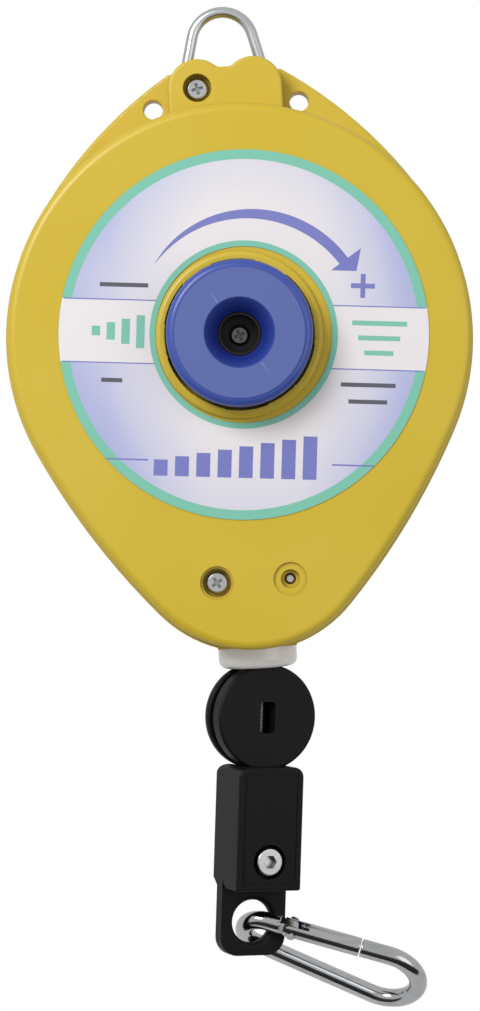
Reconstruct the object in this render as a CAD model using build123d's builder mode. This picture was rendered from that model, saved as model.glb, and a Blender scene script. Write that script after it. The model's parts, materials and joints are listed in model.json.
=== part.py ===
from build123d import *
import os
from math import acos, asin, atan2, cos, degrees, hypot, radians, sin, sqrt, tan

# A light tool balancer. The origin is the hook seat: the inside of the suspension bail's crown.
# +X is to the right, +Y to the back and +Z up. The drum turns on an axis along Y, below the origin.
# Millimetres and degrees.

# Fits
running = 0.06            # a shaft in its bush, all round
seat = 0.05               # a piece in the pocket that holds it
gap = 0.4                 # two pieces that turn past each other

# Casing, seen from the front
casing_r = 73.9           # the round at the split edge
crown_rise = 28.1         # the hook seat stands this far above the round
bottom_reach = 25.5       # the bottom edge lies this far below it
flank_r = 230.0           # the curved sides below the round
flank_from = 26.0         # how far below level they start
shoulder_from = 31.0      # how far above level the curved sides above it start
shoulder_rise = 10.5      # the flange's top, above the round
front_step = 1.6          # the front wall stands in from the split edge
rear_step = 1.2           # the rear wall stands in from the split edge

# Casing, in depth from the split plane
front_depth = 24.0
flange_t = 4.0            # each shell's half of the flange
lobe_depth = 12.0         # each shell's half of the lobes
wall = 2.6
front_round = 2.7
rear_round = 3.0
flange_round = 0.8

# Lobes over the suspension
lobe_x = 8.8
lobe_rise = 4.9           # their centres, above the round
lobe_r = 9.1
valley_rise = 6.3         # the valley between them, above their centres
valley_round = 2.4
lobe_round = 0.9

# Safety holes in the flange
safety_x = 23.1
safety_out = 3.24         # their centres, outside the round
safety_r = 3.0
safety_rim = 0.5

# Suspension bail
bail_wire_r = 1.75
bail_r = 9.8              # bend of the crown, at the wire's centre
bail_flare = 14.0         # how far each leg leans out
bail_leg = 22.5           # length of a leg below the crown's bend
bail_foot = 9.0           # length of the turned-in end
bail_bend = 4.5

# Knob collar and well in the front shell
collar_wall = 2.9
collar_height = 2.3
collar_outer_round = 1.5
collar_inner_round = 0.4
well_depth = 9.0          # from the casing's front face to the well's floor
well_wall = 2.5
notch_cut = 0.45          # notches in the collar's inner wall
notch_count = 6
notch_span = 34.0
notch_turn = -28.0
notch_depth = 6.5         # from the collar's top

# Casing screws
screw_r = 1.75
screw_head_r = 3.45
screw_head_t = 2.3
screw_reach = 10.0        # how far each reaches past the split plane
lower_screw_x = 11.4
lower_screw_rise = 23.0   # above the bottom edge
lobe_screw_turn = 12.0    # how each screw's cross happens to stand
lower_screw_turn = 31.0
rear_lobe_screw_turn = 40.0
rear_lower_screw_turn = 5.0
boss_r = 5.0
lobe_bore_r = 4.5
lobe_bore_depth = 5.5
lower_rim_r = 5.25
lower_rim_depth = 1.2
lower_bore_r = 4.5
lower_bore_depth = 5.4
tip_rim_depth = 0.9
tip_bore_r = 3.0
tip_bore_depth = 3.6
cross_w = 0.95            # slot of the cross in a screw's head
cross_l = 3.6
cross_d = 1.3
head_dome = 0.35          # share of a head's height that its edge is rounded by
tip_taper = 0.4           # share of a shank's radius that its tip is bevelled by

# Label
label_margin = 16.5       # inside the casing's round
label_bore_gap = 1.4      # round the collar
label_t = 0.3
label_shift = 1.3         # it is stuck on a little to the right

# Rope guide at the bottom
guide_r = 12.4
guide_proud = 4.9         # its lower face stands below the casing's bottom edge
guide_sunk = 1.8          # and the face that meets the casing lies above it
guide_neck_r = 6.5
guide_flange_r = 9.5
guide_flange_t = 2.4
guide_neck_l = 10.1       # from that face up to the flange's top
guide_nozzle_r = 5.4
guide_nozzle_l = 7.5      # up from the flange, between the lower screws' bosses
guide_round = 2.8
throat_r = 2.9
throat_flare_r = 4.6
throat_flare_l = 6.0
mouth_r = 9.0
mouth_depth = 2.3
mouth_flare = 1.2
guide_cover = 3.0         # the block reaches this far above the guide

# Arbor and bushes
arbor_r = 6.0
core_r = 9.5
bush_r = 8.5
bush_flange_r = 10.5
bush_flange_t = 0.8
dish_r = 13.8             # the hollow in the back of the rear shell
dish_depth = 2.6
dish_wall = 2.4
washer_r = 9.5
washer_t = 0.6
circlip_t = 0.9
circlip_r = 8.2
circlip_open = 60.0
circlip_groove = 0.7
arbor_tail = 0.8          # the arbor's end stays this far inside the back
tail_af = 5.0             # hexagon socket in the arbor's rear end
tail_socket = 3.0
nose_af = 8.4             # square on the arbor's front end

# Drum
drum_r = 41.0             # the winding's floor
drum_flange_h = 6.0
drum_flange_t = 2.0
drum_web = 2.5
drum_wall = 4.5           # between the winding and the spring chamber
drum_lip = 1.5            # the chamber's rim stands behind the rear flange
cover_t = 2.2
hub_boss_r = 12.0
hub_boss = 1.8            # the boss stands out from the web
cover_boss_in = 1.5       # the cover's boss reaches into the chamber
cover_boss_out = 0.6
cover_screw_count = 6
cover_screw_r = 1.1
cover_screw_head_r = 1.9
cover_screw_head_t = 1.1
cover_screw_l = 8.0
cover_screw_round = 0.35
anchor_r = 1.9
anchor_round = 0.95

# Rope
rope_r = 1.0
rope_apart = 0.12         # between two turns
rope_turns = 6
rope_side = 1.14          # from the outer turns to the drum's flanges
rope_off = 0.3            # the leaving run stands off the winding's floor
rope_inlet = 2.5          # below the guide's top the leaving run turns straight down
rope_lane_run = 18.0      # the leaving run keeps to its lane this far
rope_short = 0.1          # the run inside ends this far above the guide's shoulder
lead_share = 0.45         # share of the shorter run at each corner that its bend takes
rope_joint = 0.3          # clear between the two
rope_clear = 0.08         # all round it in the stop and the clamp

# Mainspring
strip_t = 0.6
strip_turns = 12
strip_in = 9.9            # inner radius of the inner turn
strip_side = 0.65         # clear of the chamber's front and of the cover

# Knob
knob_r = 22.6
knob_clear = 0.5          # round it in the well
knob_stand = 15.0         # from the casing's front face to the knob's face
knob_face_in = 2.4        # the face's edge, inside the rim
knob_face_step = 0.3
knob_rim_round = 2.3
knob_rim = 10.0           # from the knob's face to the end of the full rim
knob_skirt_in = 0.8
knob_skirt_t = 2.4
knob_length = 19.0
knob_lug_count = 6
knob_lug_span = 22.0
knob_lug_turn = 2.0
knob_ceiling = 3.2
knob_press = 3.5
funnel_r = 11.0
funnel_depth = 8.0
throat_lip = 1.2
knob_throat_r = 6.85
sleeve_r = 12.2
sleeve_length = 18.2
hex_gap = 0.2             # each flat of the hub in the knob's socket
knob_spring_r = 14.6
knob_spring_wire_r = 0.45
knob_spring_turns = 6

# Hub inside the knob
hub_base_r = 10.0
hub_base_t = 1.6
hub_af = 15.0
hub_hex_l = 7.4
hub_r = 6.6
hub_face = 8.4            # from the knob's face to the hub's rim
hub_bore_r = 5.9
hub_floor = 17.0          # from the knob's face to the floor of the hub's bore
hub_seat_r = 3.5
hub_seat_depth = 2.4      # from that floor to the seat of the hub's screw
hub_web = 0.8
hub_screw_head_r = 2.95
hub_screw_head_t = 2.0
hub_screw_r = 1.5
hub_screw_l = 8.0
hub_screw_turn = 20.0

# The hanging group. It hangs a little out of line with the casing and is turned about the rope.
rope_tilt = 5.1
pivot_x = 1.2             # the rope leans on the right side of the guide's throat
group_turn = 24.0
pivot_in = 3.3            # the rope leaves the guide's throat this far above its lower face

# Rope stop
stop_r = 16.75
stop_drop = 19.0          # from the pivot to its centre, along the rope
stop_front = 6.3          # its front face, in front of the rope
stop_rear = 5.6           # its rear face, behind the rope
stop_groove_r = 11.5
stop_groove_front = 0.75  # the groove starts this far in front of the rope
stop_groove_w = 3.4
stop_round = 0.9
window_w = 5.0
window_h = 10.0
window_depth = 7.8
window_round = 1.0

# Rope clamp
clamp_w = 22.2
clamp_front_t = 11.0
clamp_rear_t = 7.3
saddle_lap = 1.35         # the block's top reaches this far up round the stop
clamp_h = 38.9
clamp_rear_short = 2.9    # the rear half ends this far above the front half's foot
clamp_corner = 3.2        # its upper corners, seen from the front
clamp_foot_corner = 0.8   # and the lower ones of its front half
clamp_brow = 4.2          # round of the top front edge
clamp_rear_brow = 3.0
clamp_edge = 0.7
saddle_gap = 0.35
frame_inset = 2.0
frame_line = 0.4
frame_corner = 1.2
frame_depth = 0.25
lug_t = 4.3
lug_reach = 24.6          # from the rear half's foot to the lug's lower edge
lug_corner = 6.0
lug_hole_up = 10.8        # its centre, above the lug's lower edge
lug_hole_r = 6.8
lug_hole_rim = 1.6
lug_ramp_h = 2.4          # from the rear half's foot down to the lug
clamp_screw_up = 9.2      # above the front half's foot
clamp_head_r = 4.25
clamp_head_proud = 0.4
clamp_head_t = 5.0
clamp_head_round = 0.4
clamp_bore_r = 5.5
clamp_screw_r = 2.5
clamp_socket_af = 4.0
clamp_socket_depth = 2.5
nut_af = 8.0
nut_t = 4.0
nut_deep = 0.2
sleeve_down = 11.6        # the crimped sleeve's top, from the block's top
sleeve_l = 11.5
rope_sleeve_r = 2.4

# Snap hook
hook_length = 64.0
hook_wire_r = 2.9
hook_small_r = 6.4        # bends, at the wire's centre
hook_large_r = 11.2
hook_dip = 23.0           # its long axis points to the right and this far down
hook_roll = 43.0          # its plane leans back and down
hook_x = -3.15            # centre of its small bend
hook_y = 5.25
hook_below = 4.1          # below the lug's hole
gate_r = 3.0
gate_pin_at = 8.6         # along the gate's side, from the small bend
gate_nose_at = 31.2
gate_gap = 0.35
tongue_t = 2.4
tongue_r = 2.7
tongue_from = 4.6
tongue_root = 1.0         # it starts this far inside the wire's end
tongue_gap = 0.25
ear_r = 2.9               # round of the ears about the pin
gate_slot_end = 14.0
gate_bore_r = 1.9
gate_bore_end = 24.4
gate_spring_r = 1.3
gate_spring_wire_r = 0.25
gate_spring_turns = 9
gate_pin_r = 1.0
gate_pin_head_r = 1.5
gate_pin_head_t = 0.5
hook_end_round = 0.4

# Places seen from the front, worked out from the sizes above and measured from the drum's axis
hook_to_drum = casing_r + crown_rise
bottom_drop = casing_r + bottom_reach
shoulder_top = casing_r + shoulder_rise
lobe_z = casing_r + lobe_rise
valley_z = lobe_z + valley_rise
safety_z = sqrt((casing_r + safety_out) ** 2 - safety_x**2)
lower_screw_z = lower_screw_rise - bottom_drop
well_r = knob_r + knob_clear
notch_r = well_r + notch_cut
collar_r = well_r + collar_wall
knob_face_r = knob_r - knob_face_in
knob_skirt_r = knob_r - knob_skirt_in
knob_inner_r = knob_skirt_r - knob_skirt_t
label_r = casing_r - label_margin
label_bore_r = collar_r + label_bore_gap
guide_tip = bottom_drop + guide_proud
guide_shoulder = bottom_drop - guide_sunk
guide_flange_top = guide_shoulder - guide_neck_l
guide_top = guide_flange_top - guide_nozzle_l
rope_corner = guide_top + rope_inlet
rope_lead_end = guide_shoulder - rope_short
pivot_drop = guide_tip - pivot_in
drum_flange_r = drum_r + drum_flange_h
chamber_r = drum_r - drum_wall
rope_pitch = 2 * rope_r + rope_apart

# Places down the hanging group, measured from the pivot along the rope
clamp_top = stop_drop + stop_r - saddle_lap
clamp_bottom = clamp_top + clamp_h
clamp_rear_h = clamp_h - clamp_rear_short
clamp_screw_drop = clamp_bottom - clamp_screw_up
sleeve_top = clamp_top + sleeve_down
lug_drop = clamp_top + clamp_rear_h + lug_reach
lug_hole_drop = lug_drop - lug_hole_up
hook_drop = pivot_drop + lug_hole_drop + hook_below

# Depths worked out the same way. Minus is to the front.
drum_z = -hook_to_drum
front_y = -front_depth
well_floor = front_y + well_depth
well_back = well_floor + well_wall
drum_front = well_back + bush_flange_t + gap + hub_boss
groove_w = rope_turns * rope_pitch + 2 * rope_side
chamber_front = drum_front + drum_web
chamber_depth = groove_w + 2 * drum_flange_t - drum_web + drum_lip
chamber_rear = chamber_front + chamber_depth
strip_w = chamber_depth - cover_boss_in - 2 * strip_side
groove_front = drum_front + drum_flange_t
groove_rear = groove_front + groove_w
cover_rear = chamber_rear + cover_t
cover_boss_rear = cover_rear + cover_boss_out
dish_front = cover_boss_rear + gap + bush_flange_t
dish_floor = dish_front + dish_wall
rear_depth = dish_floor + dish_depth
knob_y = front_y - knob_stand
hub_back = well_floor - gap
hub_y = knob_y + hub_face
hub_floor_y = knob_y + hub_floor
hub_seat_y = hub_floor_y + hub_seat_depth
nose_y = hub_seat_y + hub_web + seat
arbor_end = rear_depth - arbor_tail
drum_bush_front = drum_front - hub_boss
core_front = chamber_front + strip_side
core_rear = chamber_rear - cover_boss_in - gap
rope_wound_r = drum_r + rope_r + seat
strip_front = chamber_front + strip_side
circlip_y = dish_floor + washer_t + seat
nut_y = clamp_rear_t - nut_t - nut_deep

# The hanging group's own frame: z runs up along the rope and -y is its front.
group = Plane(
    Location((pivot_x, 0, drum_z - pivot_drop), (0, rope_tilt, 0)) * Location((0, 0, 0), (0, 0, group_turn))
)

drum_axis = Axis((0, 0, drum_z), (0, 1, 0))
turned = Plane.XY.offset(drum_z)    # a turned profile: x is the radius and y the depth


def facing(y):
    """A plane square to the drum's axis at depth y, seen from the front."""
    return Plane(origin=(0, y, drum_z), x_dir=(1, 0, 0), z_dir=(0, -1, 0))


def behind(y):
    """The same seen from behind, where local x runs to the left."""
    return Plane(origin=(0, y, drum_z), x_dir=(-1, 0, 0), z_dir=(0, 1, 0))


def rings(*spans):
    """Rings about the drum's axis, each given as inner radius, outer radius and two depths."""
    with BuildPart() as piece:
        for inner, outer, y0, y1 in spans:
            with BuildSketch(facing(y0)):
                Circle(outer)
                Circle(inner, mode=Mode.SUBTRACT)
            extrude(amount=y0 - y1)
    return piece.part


def drop_outline(inset):
    """The round body, drawn in to the bottom, stepped in from the split edge."""
    spread = flank_r - casing_r
    flank_x = -spread * cos(radians(flank_from))
    flank_y = spread * sin(radians(flank_from))
    rise = flank_y + bottom_drop
    bottom_r = (flank_r**2 - flank_x**2 - rise**2) / (2 * (flank_r - rise))
    bottom_y = bottom_r - bottom_drop
    meet = degrees(atan2(flank_y - bottom_y, -flank_x))
    with BuildSketch() as outline:
        with BuildLine():
            CenterArc((0, 0), casing_r - inset, -flank_from, 180 + 2 * flank_from)
            CenterArc((flank_x, flank_y), flank_r - inset, -meet, meet - flank_from)
            CenterArc((-flank_x, flank_y), flank_r - inset, 180 + flank_from, meet - flank_from)
            CenterArc((0, bottom_y), bottom_r - inset, 180 + meet, 180 - 2 * meet)
        make_face()
    return outline.sketch


def shoulders():
    """The flange's upper part, curved up from the round to the lobes' sides at its flat top."""
    top_x = lobe_x + lobe_r
    along = top_x * cos(radians(shoulder_from)) + shoulder_top * sin(radians(shoulder_from))
    reach = hypot(top_x, shoulder_top)
    shoulder_r = (reach**2 - 2 * casing_r * along + casing_r**2) / (2 * (casing_r - along))
    spread = shoulder_r - casing_r
    centre_x = -spread * cos(radians(shoulder_from))
    centre_y = -spread * sin(radians(shoulder_from))
    end = degrees(asin((shoulder_top - centre_y) / shoulder_r))
    with BuildSketch() as outline:
        with BuildLine():
            right = CenterArc((centre_x, centre_y), shoulder_r, shoulder_from, end - shoulder_from)
            left = CenterArc((-centre_x, centre_y), shoulder_r, 180 - end, end - shoulder_from)
            Line(right @ 1, left @ 0)
            Line(left @ 1, right @ 0)
        make_face()
    return outline.sketch


def lobes():
    """Two lobes side by side with a valley between them, run down into the round body."""
    with BuildSketch() as outline:
        with Locations((lobe_x, lobe_z), (-lobe_x, lobe_z)):
            Circle(lobe_r)
        with Locations((0, lobe_z)):
            Rectangle(2 * (lobe_x + lobe_r), lobe_z - casing_r / 2, align=(Align.CENTER, Align.MAX))
            Rectangle(2 * lobe_x, valley_z - lobe_z, align=(Align.CENTER, Align.MIN))
        valley = outline.vertices().filter_by_position(Axis.Y, valley_z - seat, valley_z + seat)
        fillet(valley, valley_round)
    return outline.sketch


lobe_face = lobes()
with BuildSketch() as flange_sketch:
    add(drop_outline(0))
    add(shoulders())
    add(lobe_face)


def bail_rod(radius):
    """A rod of the given radius along the bail's centre line, in the split plane."""
    flare = radians(bail_flare)
    top_x = bail_r * cos(flare)
    top_z = bail_wire_r - bail_r + bail_r * sin(flare)
    knee_x = top_x + bail_leg * sin(flare)
    knee_z = top_z - bail_leg * cos(flare)
    foot_x = knee_x - bail_foot * cos(flare)
    foot_z = knee_z - bail_foot * sin(flare)
    with BuildPart() as rod:
        with BuildLine(Plane.XZ) as line:
            FilletPolyline((foot_x, foot_z), (knee_x, knee_z), (top_x, top_z), radius=bail_bend)
            ThreePointArc((top_x, top_z), (0, bail_wire_r), (-top_x, top_z))
            FilletPolyline((-top_x, top_z), (-knee_x, knee_z), (-foot_x, foot_z), radius=bail_bend)
        path = line.wires()[0]
        with BuildSketch(Plane(origin=path @ 0, z_dir=path % 0)):
            Circle(radius)
        sweep(path=path)
    return rod.part


def guide_body(clearance):
    """The rope guide's turned outside, grown by a clearance where the casing holds it."""
    outer = guide_r + clearance
    neck = guide_neck_r + clearance
    flange = guide_flange_r + clearance
    nozzle = guide_nozzle_r + clearance
    shoulder = clearance - guide_shoulder
    flange_low = -guide_flange_top - guide_flange_t - clearance
    flange_high = clearance - guide_flange_top
    top = clearance - guide_top
    with BuildPart() as body:
        with BuildSketch(facing(0)):
            with BuildLine():
                Polyline(
                    (0, -guide_tip), (outer, -guide_tip), (outer, shoulder), (neck, shoulder),
                    (neck, flange_low), (flange, flange_low), (flange, flange_high),
                    (nozzle, flange_high), (nozzle, top), (0, top), close=True,
                )
            make_face()
        revolve(axis=Axis.Z)
    return body.part


def shell(side, depth, step, edge_round):
    """One casing shell without its fittings. side is 1 to the front and -1 to the back."""
    outermost = 0 if side > 0 else -1
    with BuildPart() as body:
        with BuildSketch(facing(0)):
            add(flange_sketch.sketch)
        extrude(amount=side * flange_t)
        fillet(body.faces().sort_by(Axis.Y)[outermost].outer_wire().edges(), flange_round)
        with BuildSketch(facing(0)):
            add(lobe_face)
        extrude(amount=side * lobe_depth)
        fillet(body.faces().sort_by(Axis.Y)[outermost].outer_wire().edges(), lobe_round)
        with BuildSketch(facing(0)):
            add(drop_outline(step))
        extrude(amount=side * depth)
        fillet(body.faces().sort_by(Axis.Y)[outermost].outer_wire().edges(), edge_round)
        with BuildSketch(facing(0)):
            add(drop_outline(step + wall))
            with Locations((lower_screw_x, lower_screw_z), (-lower_screw_x, lower_screw_z)):
                Circle(boss_r, mode=Mode.SUBTRACT)
        extrude(amount=side * (depth - wall), mode=Mode.SUBTRACT)
        with BuildSketch(facing(0)):
            with Locations((0, guide_cover - guide_flange_top)):
                Rectangle(
                    2 * guide_r, guide_cover + guide_shoulder - guide_flange_top - seat,
                    align=(Align.CENTER, Align.MAX),
                )
        extrude(amount=side * guide_r)
        add(guide_body(seat), mode=Mode.SUBTRACT)
        add(bail_rod(bail_wire_r + seat), mode=Mode.SUBTRACT)
        with BuildSketch(facing(0)):
            with Locations((safety_x, safety_z), (-safety_x, safety_z)):
                Circle(safety_r)
        extrude(amount=side * flange_t, mode=Mode.SUBTRACT)
        rims = body.edges().filter_by(GeomType.CIRCLE).filter_by(
            lambda e: abs(e.radius - safety_r) < seat and abs(e.center().Y) > flange_t / 2
        )
        fillet(rims, safety_rim)
    return body.part


def cross_screw(head_r, head_t, shank_r, length, turn):
    """A pan-head screw standing on the XY plane with its shank below and a cross in its head."""
    with BuildPart() as screw:
        with BuildSketch(Plane.XY):
            Circle(head_r)
        extrude(amount=head_t)
        fillet(screw.edges().group_by(Axis.Z)[-1], head_dome * head_t)
        with BuildSketch(Plane.XY.offset(head_t)):
            Rectangle(cross_l, cross_w, rotation=turn)
            Rectangle(cross_l, cross_w, rotation=turn + 90)
        extrude(amount=-cross_d, mode=Mode.SUBTRACT)
        with BuildSketch(Plane.XY):
            Circle(shank_r)
        extrude(amount=-length)
        chamfer(screw.edges().group_by(Axis.Z)[0], tip_taper * shank_r)
    return screw.part


def placed(part, plane):
    """The part moved from the XY plane to another."""
    return part.moved(plane.location)


def sector(radius, span):
    """A pie slice about the origin, centred on local x."""
    reach = 2 * radius * cos(radians(span / 2)), 2 * radius * sin(radians(span / 2))
    with BuildSketch(mode=Mode.PRIVATE) as slice_sketch:
        with BuildLine():
            Polyline((0, 0), (reach[0], -reach[1]), (reach[0], reach[1]), close=True)
        make_face()
        Circle(radius, mode=Mode.INTERSECT)
    return slice_sketch.sketch


def screw_at(plane, x, z, reach, turn):
    """A casing screw with its head seated on the plane and its tip a reach past the split."""
    length = abs(plane.origin.Y) + reach
    screw = cross_screw(screw_head_r, screw_head_t, screw_r, length, turn)
    return placed(screw, Plane(origin=plane.from_local_coords((x, z)), x_dir=plane.x_dir, z_dir=plane.z_dir))


def hung(y, drop):
    """A plane in the hanging group's own frame, seen from its front: depth y, this far down."""
    return Plane(origin=(0, y, -drop), x_dir=(1, 0, 0), z_dir=(0, -1, 0))


# Casing

with BuildPart() as front_shell:
    add(shell(1, front_depth, front_step, front_round))
    with BuildSketch(facing(well_back)):
        Circle(collar_r)
    extrude(amount=well_back - front_y + collar_height)
    fillet(front_shell.faces().sort_by(Axis.Y)[0].edges(), collar_outer_round)
    with BuildSketch(facing(front_y - collar_height)):
        Circle(well_r)
    extrude(amount=-well_depth - collar_height, mode=Mode.SUBTRACT)
    fillet(front_shell.faces().sort_by(Axis.Y)[0].edges().sort_by(SortBy.RADIUS)[0], collar_inner_round)
    with BuildSketch(facing(front_y - collar_height)):
        with PolarLocations(0, notch_count, start_angle=notch_turn):
            add(sector(notch_r, notch_span))
    extrude(amount=-notch_depth, mode=Mode.SUBTRACT)
    with BuildSketch(facing(well_floor)):
        Circle(bush_r)
    extrude(amount=-well_wall, mode=Mode.SUBTRACT)
    with Locations(facing(-lobe_depth)):
        with Locations((-lobe_x, lobe_z)):
            CounterBoreHole(screw_r + seat, lobe_bore_r, lobe_bore_depth, lobe_depth)
    with Locations(facing(front_y)):
        with Locations((-lower_screw_x, lower_screw_z)):
            CounterBoreHole(screw_r + seat, lower_bore_r, lower_bore_depth, front_depth)
            Hole(lower_rim_r, lower_rim_depth)
        with Locations((lower_screw_x, lower_screw_z)):
            CounterBoreHole(screw_r + seat, tip_bore_r, tip_bore_depth, front_depth)
            Hole(lower_rim_r, tip_rim_depth)
    with BuildSketch(facing(0)):
        with Locations((lobe_x, lobe_z)):
            Circle(screw_r + seat)
    extrude(amount=screw_reach + seat, mode=Mode.SUBTRACT)

with BuildPart() as rear_shell:
    add(shell(-1, rear_depth, rear_step, rear_round))
    with BuildSketch(behind(dish_front)):
        Circle(dish_r + wall)
    extrude(amount=rear_depth - wall - dish_front)
    with BuildSketch(behind(dish_floor)):
        Circle(dish_r)
    extrude(amount=dish_depth, mode=Mode.SUBTRACT)
    with BuildSketch(behind(dish_front)):
        Circle(bush_r)
    extrude(amount=dish_wall, mode=Mode.SUBTRACT)
    with Locations(behind(lobe_depth)):
        with Locations((-lobe_x, lobe_z)):
            CounterBoreHole(screw_r + seat, lobe_bore_r, lobe_bore_depth, lobe_depth)
    with Locations(behind(rear_depth)):
        with Locations((-lower_screw_x, lower_screw_z)):
            CounterBoreHole(screw_r + seat, lower_bore_r, lower_bore_depth, rear_depth)
            Hole(lower_rim_r, lower_rim_depth)
    with BuildSketch(behind(0)):
        with Locations((lobe_x, lobe_z), (lower_screw_x, lower_screw_z)):
            Circle(screw_r + seat)
    extrude(amount=screw_reach + seat, mode=Mode.SUBTRACT)

with BuildPart() as suspension_bail:
    add(bail_rod(bail_wire_r))

with BuildPart() as front_casing_screws:
    add(screw_at(facing(lobe_bore_depth - lobe_depth), -lobe_x, lobe_z, screw_reach, lobe_screw_turn))
    add(screw_at(
        facing(front_y + lower_bore_depth), -lower_screw_x, lower_screw_z, screw_reach, lower_screw_turn,
    ))

with BuildPart() as rear_casing_screws:
    add(screw_at(
        behind(lobe_depth - lobe_bore_depth), -lobe_x, lobe_z, screw_reach, rear_lobe_screw_turn,
    ))
    add(screw_at(
        behind(rear_depth - lower_bore_depth), -lower_screw_x, lower_screw_z,
        front_depth - tip_bore_depth - gap, rear_lower_screw_turn,
    ))

with BuildPart() as label_disc:
    with BuildSketch(facing(front_y)):
        with Locations((label_shift, 0)):
            Circle(label_r)
            Circle(label_bore_r, mode=Mode.SUBTRACT)
    extrude(amount=label_t)

with BuildPart() as rope_guide:
    add(guide_body(0))
    fillet(rope_guide.edges().filter_by(GeomType.CIRCLE).sort_by(Axis.Z)[0], guide_round)
    with BuildSketch(facing(0)):
        with BuildLine():
            Polyline(
                (0, -guide_tip), (mouth_r + mouth_flare, -guide_tip),
                (mouth_r, mouth_flare - guide_tip), (mouth_r, mouth_depth - guide_tip),
                (throat_r, mouth_depth - guide_tip), (throat_r, -guide_top - throat_flare_l),
            )
            Spline(
                (throat_r, -guide_top - throat_flare_l), (throat_flare_r, -guide_top),
                tangents=((0, 1), (1, 1)),
            )
            Polyline((throat_flare_r, -guide_top), (0, -guide_top), (0, -guide_tip))
        make_face()
    revolve(axis=Axis.Z, mode=Mode.SUBTRACT)

with BuildPart() as front_bush:
    add(rings(
        (arbor_r + running, bush_r - seat, well_floor, well_back),
        (arbor_r + running, bush_flange_r, well_back, well_back + bush_flange_t),
    ))

with BuildPart() as rear_bush:
    add(rings(
        (arbor_r + running, bush_r - seat, dish_front, dish_floor),
        (arbor_r + running, bush_flange_r, dish_front - bush_flange_t, dish_front),
    ))

# The run of rope inside the casing. It leaves the winding on the left and turns down in the guide.
leave_r = rope_wound_r + rope_off
leave_angle = 270 - degrees(acos(leave_r / rope_corner))
leave_x = leave_r * cos(radians(leave_angle))
leave_z = leave_r * sin(radians(leave_angle))
lane_y = groove_front + (groove_w - rope_turns * rope_pitch) / 2
run_x = leave_x - rope_lane_run * sin(radians(leave_angle))
run_z = leave_z + rope_lane_run * cos(radians(leave_angle))
lead_points = [
    Vector(leave_x, lane_y, drum_z + leave_z),
    Vector(run_x, lane_y, drum_z + run_z),
    Vector(0, 0, drum_z - rope_corner),
    Vector(pivot_x + (pivot_drop - rope_lead_end) * tan(radians(rope_tilt)), 0, drum_z - rope_lead_end),
]
lead_radii = []
for before, corner, after in zip(lead_points, lead_points[1:], lead_points[2:]):
    turn = radians((corner - before).get_angle(after - corner))
    shorter = min((corner - before).length, (after - corner).length)
    lead_radii.append(lead_share * shorter / tan(turn / 2))
print("rope bends inside the casing, mm:", [round(r, 1) for r in lead_radii])

with BuildPart() as rope_lead:
    with BuildLine() as lead_line:
        FilletPolyline(*lead_points, radius=lead_radii)
    with BuildSketch(Plane(origin=lead_line.wires()[0] @ 0, z_dir=lead_line.wires()[0] % 0)):
        Circle(rope_r)
    sweep(path=lead_line.wires()[0])

# Drum

screw_circle_r = (chamber_r + drum_r) / 2

with BuildPart() as rope_drum:
    add(rings(
        (bush_r, hub_boss_r, drum_bush_front, drum_front),
        (bush_r, drum_flange_r, drum_front, groove_front),
        (bush_r, drum_r, groove_front, chamber_front),
        (chamber_r, drum_r, chamber_front, chamber_rear),
    ))
    add(rings((chamber_r, drum_flange_r, groove_rear, groove_rear + drum_flange_t)))
    with Locations(behind(chamber_rear)):
        with PolarLocations(screw_circle_r, cover_screw_count):
            Hole(cover_screw_r, cover_screw_l)
    with Locations(behind(groove_rear + drum_flange_t)):
        with Locations((0, (drum_r + drum_flange_r) / 2)):
            Hole(anchor_r, drum_flange_t)

with BuildPart() as drum_cover:
    add(rings(
        (bush_r, hub_boss_r, chamber_rear - cover_boss_in, chamber_rear),
        (bush_r, drum_r, chamber_rear, cover_rear),
        (bush_r, hub_boss_r, cover_rear, cover_boss_rear),
    ))
    with Locations(behind(cover_rear)):
        with PolarLocations(screw_circle_r, cover_screw_count):
            Hole(cover_screw_r + seat, cover_t)

with BuildPart() as drum_cover_screws:
    with BuildSketch(behind(cover_rear)):
        with PolarLocations(screw_circle_r, cover_screw_count):
            Circle(cover_screw_head_r)
    extrude(amount=cover_screw_head_t)
    fillet(drum_cover_screws.faces().sort_by(Axis.Y)[-cover_screw_count:].edges(), cover_screw_round)
    with BuildSketch(behind(cover_rear)):
        with PolarLocations(screw_circle_r, cover_screw_count):
            Circle(cover_screw_r - seat)
    extrude(amount=-cover_screw_l)

with BuildPart() as drum_bushes:
    add(rings((arbor_r + running, bush_r - seat, drum_bush_front, core_front - gap)))
    add(rings((arbor_r + running, bush_r - seat, chamber_rear - cover_boss_in, cover_boss_rear)))

with BuildPart() as rope_winding:
    with BuildSketch(turned):
        with Locations((drum_r + seat, lane_y + rope_pitch / 2)):
            Rectangle(rope_r, rope_turns * rope_pitch, align=Align.MIN)
        with Locations([(rope_wound_r, lane_y + turn * rope_pitch) for turn in range(1, rope_turns + 1)]):
            Circle(rope_r)
    revolve(axis=drum_axis)

with BuildPart() as rope_anchor:
    with BuildSketch(facing(groove_rear - seat)):
        with Locations((0, (drum_r + drum_flange_r) / 2)):
            Circle(anchor_r - seat)
    extrude(amount=-drum_flange_t - anchor_r)
    fillet(rope_anchor.edges().sort_by(Axis.Y)[-1], anchor_round)

strip_mid = strip_in + strip_t / 2
strip_pitch = (chamber_r - seat - strip_t / 2 - strip_mid) / strip_turns

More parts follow.
